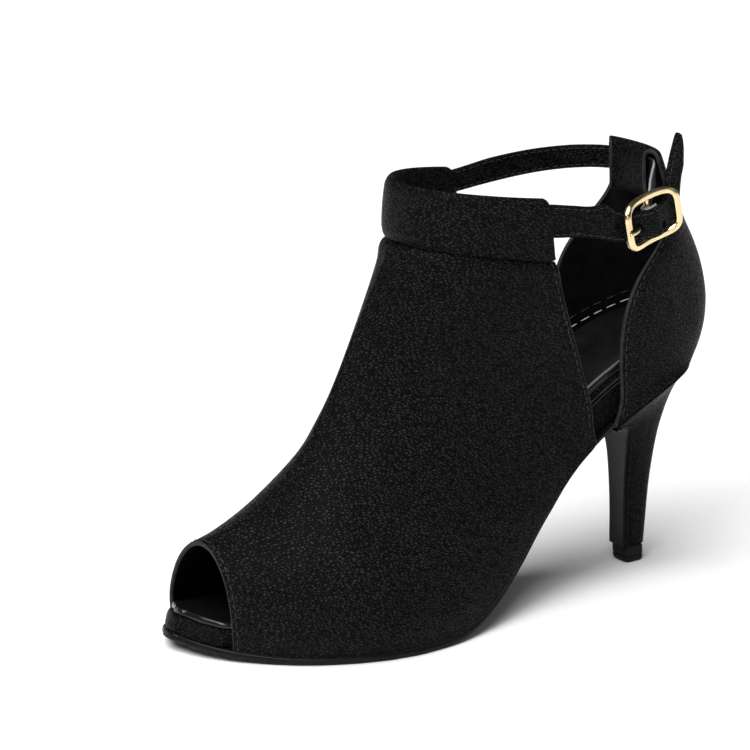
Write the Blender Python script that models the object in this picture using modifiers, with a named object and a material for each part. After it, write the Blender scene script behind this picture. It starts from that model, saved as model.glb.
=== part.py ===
"""Ankle boot sandal, left shoe: open toe, side cut-outs, buckled strap, tall slim heel."""

import bmesh
import bpy
import numpy as np
from mathutils import Vector

# Frame: X towards the toe, Y towards the outer (buckle) side, Z up.
# The origin is the centre of the heel tip's ground face.
# All lengths here are millimetres, and the meshes are written in metres.
MM = 0.001
COLLECTION = "ankle_boot_sandal"

# Sizes of the shoe
SHOE_LENGTH = 229.0
BALL_WIDTH = 82.0
SEAT_HEIGHT = 84.0
COLLAR_HEIGHT = 170.0

# Thicknesses and clearances
GAP = 0.3
OUTSOLE_THICK = 2.6
MIDSOLE_THICK = 6.4
SEAT_PAD = 8.5
WAIST_RISE = 0.2
INSOLE_THICK = 2.4
UPPER_WALL = 1.8
CUFF_THICK = 4.6
STRAP_THICK = 1.9
ELASTIC_THICK = 1.0
ELASTIC_HALF = 5.0
STRAP_SOFT = 0.06
STRAP_FLAT = 0.4
COVER_THICK = 0.9
COVER_IN = 0.2
COVER_COLUMNS = 5
CUFF_END_TRIM = 0.9

# Heel tip
TIP_LENGTH = 8.6
TIP_WIDTH = 10.6
TIP_HEIGHT = 6.7
HEEL_FOOT = TIP_HEIGHT + GAP
HEEL_RISE = SEAT_HEIGHT - HEEL_FOOT
TIP_BEVEL = 0.7

# How far the bottom parts stand in from the shoe's outline
COVERED_INSET = 2.9
BARE_INSET = 0.5
INSOLE_INSET = 1.6
BREAST_X = 20.0

# How the fold of the counter draws in as it goes over and down
FOLD_FORWARD = 0.25
FOLD_SHORTER = 1.35
FOLD_DRAW = 0.05
PAD_END = 110.0
PAD_FULL = 45.0
# Where the toe opening bares the midsole, and over what length it steps out
BARE_OUTER = 184.6
BARE_INNER = 188.4
BARE_BLEND = 2.4
# Start of the seat, and the shoulders of the three bottom parts
SEAT_START = -40.0
OUTSOLE_SHOULDER = 0.70
MIDSOLE_SHOULDER = 0.72
INSOLE_SHOULDER = 0.60
SHOULDER_IN = 0.93

# Buckle, in its own frame: long axis, up axis, outward axis
BUCKLE_DROP = 23.4
BUCKLE_CENTRE = (8.2, 30.1, COLLAR_HEIGHT - BUCKLE_DROP)
BUCKLE_LONG = 28.7
BUCKLE_HIGH = 19.6
BUCKLE_BAR = 2.3
BUCKLE_DIP = 2.9
BUCKLE_TILT = 0.19
BUCKLE_TURN = 0.16
BUCKLE_SQUARE = 4.6
BUCKLE_LOW = 0.45
PUNCHED = ((-7.0, -0.5), (-16.6, 3.9), (3.9, -3.4))
PIN_RADIUS = 1.0
PRONG_RADIUS = 0.65
PRONG_ROOT = 1.15
HOLE_RADIUS = 1.7
PUNCH_REACH = 9.0
PRONG_UP = -0.5

# Numbers of rows and columns in the meshes
SOLE_STATIONS = 34
VAMP_ROWS = 21
VAMP_COLUMNS = 31
CUFF_COLUMNS = 25
COUNTER_COLUMNS = 25
FRONT_ROWS = 34
BACK_ROWS = 17
BUCKLE_STEPS = 28
TUBE_SIDES = 8
PUNCH_SIDES = 10
SHARP_ANGLE = 0.7

# Colour, roughness and metallic share of each material
MATERIALS = {
    "grain_leather": ((0.012, 0.012, 0.013, 1.0), 0.55, 0.0),
    "smooth_sole": ((0.010, 0.010, 0.010, 1.0), 0.40, 0.0),
    "gloss_lining": ((0.012, 0.012, 0.012, 1.0), 0.25, 0.0),
    "elastic_web": ((0.060, 0.060, 0.065, 1.0), 0.85, 0.0),
    "gold_metal": ((0.85, 0.66, 0.33, 1.0), 0.22, 1.0),
    "tip_rubber": ((0.015, 0.015, 0.015, 1.0), 0.60, 0.0),
}


def table(columns, sizes, rows):
    """Columns of a table by name, each share times the size it is a share of."""
    values = np.array(rows) * np.array(sizes)
    return dict(zip(columns.split(), values.T))


# Underside of the sole along the foot
SOLE_LINE = table(
    "x z",
    (SHOE_LENGTH, SEAT_HEIGHT),
    (
        (-0.1354, 0.9833),
        (-0.0873, 0.9619),
        (-0.0437, 0.9286),
        (0.0, 0.8833),
        (0.0437, 0.8286),
        (0.0917, 0.7476),
        (0.131, 0.6714),
        (0.1659, 0.5929),
        (0.2271, 0.4167),
        (0.3057, 0.2143),
        (0.3537, 0.119),
        (0.4061, 0.0452),
        (0.4498, 0.0095),
        (0.4891, 0.0),
        (0.5677, 0.0),
        (0.6463, 0.0),
        (0.7205, 0.0036),
        (0.786, 0.0179),
        (0.8297, 0.0381),
        (0.8603, 0.0619),
    ),
)

# Outline of the shoe at the feather line, from the seat's back to the toe tip
OUTLINE = table(
    "x outer inner",
    (SHOE_LENGTH, BALL_WIDTH, BALL_WIDTH),
    (
        (-0.1109, 0.0488, -0.0488),
        (-0.1031, 0.1293, -0.1293),
        (-0.0856, 0.2024, -0.2024),
        (-0.0594, 0.2537, -0.2537),
        (-0.0175, 0.2854, -0.2854),
        (0.0306, 0.2951, -0.2951),
        (0.0873, 0.2805, -0.2805),
        (0.1572, 0.2732, -0.2707),
        (0.2271, 0.2927, -0.2756),
        (0.2969, 0.3463, -0.3),
        (0.3581, 0.4049, -0.339),
        (0.4148, 0.4512, -0.3854),
        (0.4716, 0.4805, -0.4317),
        (0.524, 0.4878, -0.4707),
        (0.5764, 0.4683, -0.4951),
        (0.6245, 0.4244, -0.5061),
        (0.6681, 0.3659, -0.5073),
        (0.7074, 0.2976, -0.5024),
        (0.7424, 0.2195, -0.4951),
        (0.7729, 0.139, -0.4854),
        (0.8013, 0.0537, -0.4683),
        (0.8253, -0.0415, -0.4366),
        (0.8428, -0.1293, -0.3927),
        (0.8524, -0.2073, -0.3293),
    ),
)

# Ridge of the vamp from the toe opening up to the cuff, and the foot of its wall
VAMP_LINE = table(
    "t ridge_x ridge_y ridge_z foot_x round tuck",
    (1.0, SHOE_LENGTH, BALL_WIDTH, COLLAR_HEIGHT, SHOE_LENGTH, 1.0, 1.0),
    (
        (0.0, 0.8052, -0.1341, 0.2447, 0.7991, 1.95, 0.16),
        (0.08, 0.7686, -0.1268, 0.2565, 0.7489, 1.85, 0.2),
        (0.16, 0.731, -0.1195, 0.2776, 0.6878, 1.8, 0.22),
        (0.24, 0.6943, -0.1122, 0.3059, 0.6201, 1.76, 0.24),
        (0.32, 0.6594, -0.1049, 0.3435, 0.5415, 1.76, 0.24),
        (0.4, 0.6262, -0.0951, 0.3906, 0.452, 1.78, 0.22),
        (0.48, 0.5956, -0.0854, 0.4471, 0.3581, 1.82, 0.2),
        (0.56, 0.5677, -0.0756, 0.5094, 0.262, 1.88, 0.16),
        (0.63, 0.545, -0.0683, 0.5706, 0.1834, 1.92, 0.12),
        (0.7, 0.524, -0.061, 0.6318, 0.1201, 1.96, 0.08),
        (0.8, 0.4952, -0.0463, 0.7141, 0.1201, 2.0, 0.04),
        (0.9, 0.4664, -0.0317, 0.7918, 0.1201, 2.05, 0.02),
        (1.0, 0.4402, -0.0195, 0.8647, 0.1201, 2.1, 0.0),
    ),
)
VAMP_CORNER = 0.70
INNER_SIDE = 0.95
# How far ahead the inner foot of the toe opening stands, and over what share it blends in
INNER_AHEAD = 3.0
AHEAD_SHARE = 0.16
# How much closer the columns stand near the shoulders of the section
VAMP_SPREAD = 0.035
# Over what length the wall comes in to the outline at its foot, and where that fades out
FOOT_BLEND = 14.0
CORNER_BLEND = 0.12

# Rear edge of the vamp, from the feather line up to the cuff
VAMP_EDGE = table(
    "t x y z",
    (1.0, SHOE_LENGTH, BALL_WIDTH, COLLAR_HEIGHT),
    (
        (0.7, 0.1406, 0.278, 0.3647),
        (0.75, 0.1493, 0.3, 0.4471),
        (0.8, 0.1686, 0.3244, 0.5235),
        (0.85, 0.1886, 0.3488, 0.6),
        (0.9, 0.2079, 0.3683, 0.6735),
        (0.95, 0.2249, 0.3829, 0.7471),
        (1.0, 0.2376, 0.3902, 0.8118),
    ),
)

# Sections of the cuff: how far it stands out and up, going round its padded profile
CUFF_PROFILE = table(
    "out up",
    (CUFF_THICK, 1.0),
    (
        (0.1087, 0.0),
        (0.1848, 0.1),
        (0.2065, 0.32),
        (0.1522, 0.66),
        (0.0652, 0.86),
        (-0.1087, 0.97),
        (-0.3913, 1.0),
        (-0.6739, 0.95),
        (-0.8261, 0.84),
        (-0.8478, 0.62),
        (-0.7826, 0.3),
        (-0.5217, 0.0),
    ),
)
# Foot and top of the cuff from the outer end (0) round the front (1) to the inner end
CUFF_RIM = table(
    "around lift height lean",
    (1.0, COLLAR_HEIGHT, COLLAR_HEIGHT, SHOE_LENGTH),
    (
        (0.0, 0.0018, 0.1447, 0.0087),
        (0.5, 0.0018, 0.1329, -0.0087),
        (1.0, 0.0018, 0.1212, -0.0245),
    ),
)

# Outer face of the counter and the fold that carries the strap, row by row
COUNTER_ROWS = table(
    "front_x front_y front_z back_x back_z square aside inner",
    (SHOE_LENGTH, BALL_WIDTH, COLLAR_HEIGHT, SHOE_LENGTH, COLLAR_HEIGHT, 1.0, BALL_WIDTH, SHOE_LENGTH),
    (
        (0.0786, 0.3, 0.4471, -0.1345, 0.5271, 2.5, 0.0, 0.0),
        (0.0821, 0.3049, 0.5176, -0.1476, 0.5765, 2.45, 0.0, 0.0),
        (0.0803, 0.3073, 0.5765, -0.1511, 0.6235, 2.4, 0.0, 0.0),
        (0.0725, 0.3098, 0.6353, -0.1459, 0.6706, 2.35, 0.0, 0.0),
        (0.0559, 0.3098, 0.6941, -0.1362, 0.7176, 2.3, 0.0, 0.0044),
        (0.0306, 0.3073, 0.7412, -0.1227, 0.7624, 2.25, -0.0024, 0.0087),
        (0.0017, 0.2976, 0.78, -0.1079, 0.8035, 2.2, -0.0061, 0.0109),
        (-0.0245, 0.2829, 0.8212, -0.0926, 0.8412, 2.15, -0.011, 0.0066),
        (-0.0402, 0.2659, 0.8624, -0.0777, 0.88, 2.1, -0.0171, -0.0031),
        (-0.0376, 0.239, 0.9118, -0.0655, 0.9212, 2.05, -0.0317, -0.0157),
        (-0.0288, 0.2317, 0.9671, -0.055, 0.9671, 2.0, -0.039, -0.0157),
    ),
)
FOLD_ROWS = table(
    "inward z",
    (UPPER_WALL, COLLAR_HEIGHT),
    (
        (0.5, 0.9824),
        (1.8333, 0.9894),
        (3.1667, 0.9824),
        (3.6667, 0.9671),
        (3.6667, 0.9259),
        (3.5556, 0.8918),
        (2.7778, 0.8694),
    ),
)

# Rings of the heel from under the seat down to the tip
HEEL_RINGS = table(
    "back_x back_rise front_x front_rise half",
    (SHOE_LENGTH, HEEL_RISE, SHOE_LENGTH, HEEL_RISE, BALL_WIDTH),
    (
        (-0.1057, 0.9143, 0.0332, 0.6935, 0.1707),
        (-0.0908, 0.8234, 0.0201, 0.6519, 0.1317),
        (-0.076, 0.7169, 0.0162, 0.5844, 0.1061),
        (-0.0624, 0.5922, 0.0148, 0.4883, 0.0854),
        (-0.0515, 0.4494, 0.0153, 0.3714, 0.072),
        (-0.0428, 0.3117, 0.0157, 0.2597, 0.0659),
        (-0.0362, 0.1636, 0.0166, 0.1377, 0.0634),
        (-0.031, 0.0468, 0.0175, 0.0416, 0.064),
        (-0.0288, 0.0, 0.0175, 0.0, 0.0646),
    ),
)

# Edges of the front strap from the cuff to the buckle
STRAP_START = table(
    "x_up y_up z_up x_low y_low z_low",
    (SHOE_LENGTH, BALL_WIDTH, COLLAR_HEIGHT, SHOE_LENGTH, BALL_WIDTH, COLLAR_HEIGHT),
    (
        (0.2371, 0.4, 0.9412, 0.2341, 0.4, 0.8659),
        (0.1939, 0.3951, 0.9288, 0.193, 0.3951, 0.8576),
        (0.1594, 0.3927, 0.92, 0.1585, 0.3927, 0.8471),
        (0.1328, 0.3866, 0.9188, 0.131, 0.3866, 0.8353),
    ),
)
# The free end, from under the rear bar up to its tip, in the buckle's own frame
STRAP_END = table(
    "along_up up_up along_low up_low out",
    (BUCKLE_LONG, BUCKLE_HIGH, BUCKLE_LONG, BUCKLE_HIGH, BUCKLE_BAR),
    (
        (0.3972, 0.3163, 0.5087, -0.2245, -0.7826),
        (0.4111, 0.398, 0.5993, -0.0204, -0.9565),
        (0.439, 0.5306, 0.6585, 0.2245, -1.0435),
        (0.5017, 0.7347, 0.7178, 0.4694, -1.0435),
        (0.5784, 0.9592, 0.7875, 0.6939, -1.0),
        (0.662, 1.1633, 0.8153, 0.9184, -0.9565),
        (0.7317, 1.3061, 0.8293, 1.1429, -0.9565),
        (0.777, 1.352, 0.8188, 1.2806, -0.9565),
    ),
)
# The front strap inside the buckle, in the buckle's own frame
STRAP_WEAVE = table(
    "along out half up",
    (BUCKLE_LONG, BUCKLE_BAR, BUCKLE_HIGH, BUCKLE_HIGH),
    (
        (-0.6063, -0.5652, 0.3469, 0.2041),
        (-0.4878, -0.5217, 0.3112, 0.102),
        (-0.3693, -0.3478, 0.301, 0.0306),
        (-0.1742, 0.5217, 0.2959, -0.0306),
        (0.0, 1.0, 0.2959, -0.051),
        (0.1742, 0.5217, 0.2959, -0.051),
        (0.3484, -0.4783, 0.2959, -0.0255),
    ),
)
# Middle of the back strap, its height and its half width
STRAP_BACK = table(
    "x y z half",
    (SHOE_LENGTH, BALL_WIDTH, COLLAR_HEIGHT, BALL_WIDTH),
    (
        (0.2367, -0.3878, 0.9276, 0.0549),
        (0.1659, -0.3854, 0.9371, 0.0585),
        (0.0873, -0.3683, 0.9424, 0.0573),
        (0.0306, -0.3268, 0.9435, 0.0561),
        (-0.0026, -0.2768, 0.9429, 0.0549),
        (-0.0258, -0.2232, 0.9412, 0.0549),
        (-0.0406, -0.1537, 0.94, 0.0537),
        (-0.0432, -0.0732, 0.9388, 0.0537),
        (-0.0424, 0.0, 0.9376, 0.0537),
        (-0.0419, 0.0439, 0.9365, 0.0537),
    ),
)
# The elastic: from the fold to the buckle, then round its pin
ELASTIC_RUN = table(
    "x y z half",
    (SHOE_LENGTH, BALL_WIDTH, COLLAR_HEIGHT, BALL_WIDTH),
    (
        (-0.0415, 0.0488, 0.9353, 0.0537),
        (-0.0389, 0.1, 0.9353, 0.0537),
        (-0.0301, 0.1439, 0.9329, 0.0537),
        (-0.014, 0.1927, 0.9235, 0.0561),
        (0.0039, 0.2439, 0.9071, 0.0585),
        (0.021, 0.2976, 0.8871, 0.061),
    ),
)
ELASTIC_FOLD = table(
    "along out",
    (BUCKLE_LONG, BUCKLE_BAR),
    (
        (0.0348, -1.3913),
        (0.0, -1.3478),
        (-0.0443, -1.1174),
        (-0.0627, -0.5652),
        (-0.0443, -0.013),
        (0.0, 0.2174),
        (0.0557, 0.1739),
        (0.1254, 0.0),
    ),
)
PRONG_PATH = table(
    "along out",
    (BUCKLE_LONG, BUCKLE_BAR),
    (
        (-0.2753, -0.087),
        (-0.277, 0.3478),
        (-0.2892, 0.7826),
        (-0.3206, 1.1739),
        (-0.3693, 1.4348),
        (-0.439, 1.6304),
        (-0.5226, 1.6522),
    ),
)


def smooth(knots, values, at):
    """Cubic through the knots that keeps the table's shape, with no overshoot."""
    at = np.clip(np.asarray(at, dtype=float), knots[0], knots[-1])
    steps = np.diff(knots)
    rises = np.diff(values) / steps
    slopes = np.empty(len(knots))
    slopes[0] = rises[0]
    slopes[-1] = rises[-1]
    for i in range(1, len(knots) - 1):
        before, after = rises[i - 1], rises[i]
        slopes[i] = 0.0 if before * after <= 0.0 else 2.0 * before * after / (before + after)
    cell = np.clip(np.searchsorted(knots, at, side="right") - 1, 0, len(steps) - 1)
    step = steps[cell]
    f = (at - knots[cell]) / step
    return (
        values[cell] * (1 + 2 * f) * (1 - f) ** 2
        + values[cell + 1] * f * f * (3 - 2 * f)
        + slopes[cell] * step * f * (1 - f) ** 2
        - slopes[cell + 1] * step * f * f * (1 - f)
    )


def along(rows, column, at, key="t"):
    """A column of a table, read smoothly at a parameter."""
    return smooth(rows[key], rows[column], at)


def sole_point(x, y, lift):
    """Point above the sole's underside, lifted square to it."""
    reach = 0.5
    x = np.asarray(x, dtype=float)
    z = along(SOLE_LINE, "z", x, "x")
    rise = (along(SOLE_LINE, "z", x + reach, "x") - along(SOLE_LINE, "z", x - reach, "x")) / (2 * reach)
    scale = np.hypot(1.0, rise)
    return np.stack(np.broadcast_arrays(x - lift * rise / scale, y, z + lift / scale), -1)


def outline(start, inset):
    """Outer and inner sides of the outline from x = start to the toe, moved in by inset(x, side)."""
    rows = np.linspace(0.0, 1.0, len(OUTLINE["x"]))
    fine = np.linspace(0.0, 1.0, 400)
    first = np.interp(start, smooth(rows, OUTLINE["x"], fine), fine)
    u = np.linspace(0.0, 1.0, SOLE_STATIONS)
    u = np.concatenate([[first], u[u > first + 0.25 / SOLE_STATIONS]])
    x = smooth(rows, OUTLINE["x"], u)
    loop = np.concatenate(
        [
            np.stack([x, smooth(rows, OUTLINE["outer"], u)], -1),
            np.stack([x, smooth(rows, OUTLINE["inner"], u)], -1)[::-1],
        ]
    )
    ahead = np.roll(loop, -1, axis=0) - np.roll(loop, 1, axis=0)
    if first > 0.0:
        ahead[0] = loop[1] - loop[0]
        ahead[-1] = loop[-1] - loop[-2]
    ahead /= np.linalg.norm(ahead, axis=1)[:, None]
    inward = np.stack([ahead[:, 1], -ahead[:, 0]], -1)
    side = np.where(np.arange(len(loop)) < len(u), 1.0, -1.0)
    moved = loop + inward * inset(loop[:, 0], side)[:, None]
    if first > 0.0:
        moved[[0, -1], 0] = start
    return moved[: len(u)], moved[len(u) :][::-1]


def band_inset(x, side):
    """Inset of the midsole: deep where the upper covers it, slight at the open toe."""
    opens = np.where(side > 0, BARE_OUTER, BARE_INNER)
    share = np.clip((x - opens) / BARE_BLEND, 0.0, 1.0)
    return COVERED_INSET + (BARE_INSET - COVERED_INSET) * share * share * (3 - 2 * share)


def insole_inset(x, side):
    """Inset of the insole: a little inside the midsole."""
    return band_inset(x, side) + INSOLE_INSET


def material(name):
    """The named Principled material, made once."""
    found = bpy.data.materials.get(name)
    if found:
        return found
    colour, rough, metal = MATERIALS[name]
    made = bpy.data.materials.new(name)
    made.use_nodes = True
    shader = made.node_tree.nodes["Principled BSDF"]
    shader.inputs["Base Color"].default_value = colour
    shader.inputs["Roughness"].default_value = rough
    shader.inputs["Metallic"].default_value = metal
    made.diffuse_color = colour
    return made


def add_body(name, points, faces, slot):
    """One closed object from points in millimetres, its faces turned outwards."""
    mesh = bpy.data.meshes.new(name)
    mesh.from_pydata([tuple(Vector(p) * MM) for p in points], [], faces)
    work = bmesh.new()
    work.from_mesh(mesh)
    bmesh.ops.recalc_face_normals(work, faces=work.faces)
    work.to_mesh(mesh)
    work.free()
    mesh.materials.append(material(slot))
    mesh.shade_smooth()
    mesh.set_sharp_from_angle(angle=SHARP_ANGLE)
    body = bpy.data.objects.new(name, mesh)
    bpy.data.collections[COLLECTION].objects.link(body)
    return body


def shell(name, outside, inside, slot):
    """A wall between two grids of the same shape, closed along its four rims."""
    rows, columns = outside.shape[:2]
    count = rows * columns
    points = np.concatenate([outside.reshape(-1, 3), inside.reshape(-1, 3)])
    faces = []
    for i in range(rows - 1):
        for j in range(columns - 1):
            a = i * columns + j
            quad = (a, a + 1, a + columns + 1, a + columns)
            faces.append(quad)
            faces.append(tuple(count + k for k in reversed(quad)))
    rim = [j for j in range(columns)]
    rim += [i * columns + columns - 1 for i in range(1, rows)]
    rim += [(rows - 1) * columns + j for j in range(columns - 2, -1, -1)]
    rim += [i * columns for i in range(rows - 2, 0, -1)]
    for a, b in zip(rim, rim[1:] + rim[:1]):
        faces.append((b, a, count + a, count + b))
    return add_body(name, points, faces, slot)


def loft(name, rings, slot, capped=True):
    """A body through closed rings of equal count, with ladder caps or joined end to end."""
    rings = np.asarray(rings)
    turns, count = rings.shape[:2]
    faces = []
    for i in range(turns if not capped else turns - 1):
        for j in range(count):
            a, b = i * count + j, i * count + (j + 1) % count
            c = ((i + 1) % turns) * count
            faces.append((a, b, c + (j + 1) % count, c + j))
    if capped:
        for base in (0, (turns - 1) * count):
            for j in range(count // 2 - 1):
                far = count - 1 - j
                faces.append((base + j, base + j + 1, base + far - 1, base + far))
    return add_body(name, rings.reshape(-1, 3), faces, slot)


def normals(grid):
    """Unit normals of a grid of points."""
    down, across = np.gradient(grid, axis=0), np.gradient(grid, axis=1)
    turned = np.cross(down, across)
    return turned / np.linalg.norm(turned, axis=-1, keepdims=True)


def pad(x):
    """Extra depth of the midsole under the seat and the waist."""
    share = np.clip((PAD_END - np.asarray(x)) / (PAD_END - PAD_FULL), 0.0, 1.0)
    return SEAT_PAD * share * share * (3 - 2 * share)


def layer(name, start, inset, lift, thick, shoulder, slot, padded=(0.0, 0.0)):
    """A bottom part between two lifts above the underside, each raised by a share of the pad."""
    outer, inner = outline(start, inset)
    flat = ((1, 0), (0, 0), (-1, 0))
    profile = (*flat, (-1, shoulder), (-SHOULDER_IN, 1), (0, 1), (SHOULDER_IN, 1), (1, shoulder))
    rings = []
    for a, b in zip(outer, inner):
        middle, half = (a + b) / 2, (a - b) / 2
        ring = []
        for across, share in profile:
            x, y = middle + half * across
            low = lift + padded[0] * pad(x)
            high = lift + thick + padded[1] * pad(x)
            ring.append(sole_point(x, y, low + (high - low) * share))
        rings.append(ring)
    return loft(name, rings, slot)


def fixed(amount):
    """An inset that is the same all round."""
    return lambda x, side: np.full(len(x), amount)


def vamp_foot(t, side):
    """Where the vamp's wall ends at t: on the feather line, then up its rear edge."""
    if t <= VAMP_CORNER:
        x = along(VAMP_LINE, "foot_x", t)
        column = "outer" if side > 0 else "inner"
        x += 0.0 if side > 0 else INNER_AHEAD * (1.0 - min(t / AHEAD_SHARE, 1.0))
        y = np.interp(x, OUTLINE["x"], OUTLINE[column])
        return sole_point(x, y, OUTSOLE_THICK + GAP)
    x, y, z = (along(VAMP_EDGE, c, t) for c in "xyz")
    return np.array([x, y if side > 0 else -y * INNER_SIDE, z])


def vamp_section(t, angles):
    """Section of the vamp's outer face from the outer foot over the ridge to the inner foot."""
    ridge = np.array([along(VAMP_LINE, c, t) for c in ("ridge_x", "ridge_y", "ridge_z")])
    outer, inner = vamp_foot(t, 1), vamp_foot(t, -1)
    power = 2.0 / along(VAMP_LINE, "round", t)
    tuck = along(VAMP_LINE, "tuck", t)
    low = np.sin(tuck) ** power
    base = (outer + inner) / 2
    centre = base + (ridge - base) * low / (1 + low)
    half = (outer - inner) / 2 / np.cos(tuck) ** power
    turn = -tuck + angles * (np.pi + 2 * tuck)
    across = np.sign(np.cos(turn)) * np.abs(np.cos(turn)) ** power
    up = np.sign(np.sin(turn)) * np.abs(np.sin(turn)) ** power
    return centre + across[:, None] * half + up[:, None] * (ridge - centre)


def vamp_faces(rows, angles):
    """Outer and inner faces of the vamp: full above, flush with the outline at its foot."""
    base = np.array([vamp_section(t, angles) for t in rows])
    away = normals(base)
    steps = np.linalg.norm(np.diff(base, axis=1), axis=-1)
    run = np.concatenate([np.zeros((len(rows), 1)), np.cumsum(steps, axis=1)], 1)
    near = np.clip(np.minimum(run, run[:, -1:] - run) / FOOT_BLEND, 0.0, 1.0)
    low = np.clip((VAMP_CORNER - np.asarray(rows)) / CORNER_BLEND, 0.0, 1.0)[:, None]
    full = 1.0 - low * (1.0 - near) ** 2
    outside = base + away * (UPPER_WALL * full)[..., None]
    inside = outside - away * UPPER_WALL
    outside[-1, :, 2] = base[-1, :, 2]
    inside[-1, :, 2] = base[-1, :, 2]
    return outside, inside


def build_vamp():
    """Front of the upper, from the open toe to the cuff."""
    angles = np.linspace(0.0, 1.0, VAMP_COLUMNS)
    angles = angles + VAMP_SPREAD * np.sin(4 * np.pi * angles)
    below = np.linspace(0.0, VAMP_CORNER, VAMP_ROWS * 2 // 3)
    above = np.linspace(VAMP_CORNER, 1.0, VAMP_ROWS - len(below) + 1)[1:]
    outside, inside = vamp_faces(np.concatenate([below, above]), angles)
    return shell("vamp", outside, inside, "grain_leather")


def build_cuff():
    """Padded collar on top of the vamp, open at the rear."""
    angles = np.linspace(0.0, 1.0, CUFF_COLUMNS)
    path = vamp_section(1.0, angles)
    ahead = np.gradient(path, axis=0)
    out = np.stack([-ahead[:, 1], ahead[:, 0], np.zeros(len(path))], -1)
    out /= -np.linalg.norm(out, axis=1)[:, None]
    rings = []
    for i, share in enumerate(angles):
        around = 1.0 - abs(2.0 * share - 1.0)
        lift, height, lean = (along(CUFF_RIM, c, around, "around") for c in ("lift", "height", "lean"))
        end = min(share, 1.0 - share) * (CUFF_COLUMNS - 1)
        trim = CUFF_END_TRIM if end < 0.5 else 1.0
        ring = []
        for aside, up in zip(CUFF_PROFILE["out"], CUFF_PROFILE["up"]):
            spot = path[i] + out[i] * (aside * (trim if aside < 0 else 1.0))
            shift = lean * up
            ring.append(spot + np.array([shift, 0.0, lift + height * up * trim]))
        rings.append(ring)
    return loft("cuff", rings, "grain_leather")


def length_along(path):
    """Run of a path from its first point."""
    return np.concatenate([[0.0], np.cumsum(np.linalg.norm(np.diff(path, axis=0), axis=1))])


def seat_edge(inset):
    """Outline of the seat from its outer front corner round the back to the inner one."""
    outer, inner = outline(SEAT_START, fixed(inset))
    outer, inner = outer[outer[:, 0] < BREAST_X - GAP], inner[inner[:, 0] < BREAST_X - GAP]
    for side in (outer, inner):
        side[-1, 0] = BREAST_X - GAP
    return np.concatenate([outer[::-1], inner])


def counter_row(front_x, front_y, front_z, back_x, back_z, square, aside, inner, angles):
    """One row of the counter, from its outer front edge round the back to the inner one."""
    turn = angles * np.pi
    across = np.sign(np.cos(turn)) * np.abs(np.cos(turn)) ** (2.0 / square)
    depth = np.abs(np.sin(turn)) ** (2.0 / square)
    return np.stack(
        [
            front_x + (back_x - front_x) * depth + inner * angles * (1.0 - depth),
            aside + front_y * across,
            front_z + (back_z - front_z) * depth,
        ],
        -1,
    )


def counter_faces(angles):
    """Outer and inner faces of the heel cup and of the fold at its top."""
    columns = ("front_x", "front_y", "front_z", "back_x", "back_z", "square", "aside", "inner")
    seat = seat_edge(0.0)
    run = length_along(seat)
    length = length_along(counter_row(*(COUNTER_ROWS[c][0] for c in columns), angles))
    spots = run[-1] * length / length[-1]
    foot_x, foot_y = (np.interp(spots, run, seat[:, k]) for k in (0, 1))
    rows = [sole_point(foot_x, foot_y, OUTSOLE_THICK + GAP)]
    for values in zip(*(COUNTER_ROWS[c] for c in columns)):
        rows.append(counter_row(*values, angles))
    top = {c: COUNTER_ROWS[c][-1] for c in columns}
    for depth, z in zip(FOLD_ROWS["inward"], FOLD_ROWS["z"]):
        back = top["back_x"] + depth - FOLD_DRAW * (top["front_z"] - min(z, top["front_z"]))
        row = (top["front_x"] + depth * FOLD_FORWARD, top["front_y"] - depth * FOLD_SHORTER, z, back, z)
        inner = top["inner"] * (1.0 - depth / FOLD_ROWS["inward"].max())
        rows.append(counter_row(*row, top["square"], top["aside"], inner, angles))
    outside = np.array(rows)
    return outside, outside + normals(outside) * UPPER_WALL


def build_counter():
    """Heel cup with the fold at its top that carries the strap."""
    outside, inside = counter_faces(np.linspace(0.0, 1.0, COUNTER_COLUMNS))
    return shell("counter", outside, inside, "grain_leather")


def build_heel():
    """Covered slim heel: the seat's outline drawn down to the tip."""
    seat = seat_edge(GAP)
    rings = [sole_point(seat[:, 0], seat[:, 1], OUTSOLE_THICK), sole_point(seat[:, 0], seat[:, 1], -GAP)]
    share = (seat[:, 0] - seat[:, 0].min()) / np.ptp(seat[:, 0])
    wide = seat[:, 1] / np.abs(seat[:, 1]).max()
    for back_x, back_rise, front_x, front_rise, half in zip(*HEEL_RINGS.values()):
        rings.append(
            np.stack(
                [
                    back_x + (front_x - back_x) * share,
                    wide * half,
                    HEEL_FOOT + back_rise + (front_rise - back_rise) * share,
                ],
                -1,
            )
        )
    return loft("heel", rings, "grain_leather"), rings


def build_breast_cover(rings):
    """Thin smooth plate down the front of the heel."""
    edge = np.array([(ring[0] + ring[-1]) / 2 for ring in rings[1:]])
    half = np.array([abs(ring[0][1] - ring[-1][1]) / 2 for ring in rings[1:]])
    ahead = np.gradient(edge, axis=0)
    face = np.stack([-ahead[:, 2], np.zeros(len(edge)), ahead[:, 0]], -1)
    face /= np.linalg.norm(face, axis=1)[:, None]
    face *= np.sign(face[:, :1])
    across = np.linspace(-1.0, 1.0, COVER_COLUMNS)
    grids = []
    for off in (GAP, GAP + COVER_THICK):
        rows = []
        for spot, width, way in zip(edge, half, face):
            middle = spot + way * off
            rows.append([middle + np.array([0.0, (width - COVER_IN) * a, 0.0]) for a in across])
        grids.append(np.array(rows))
    return shell("breast_cover", grids[1], grids[0], "smooth_sole")


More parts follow.
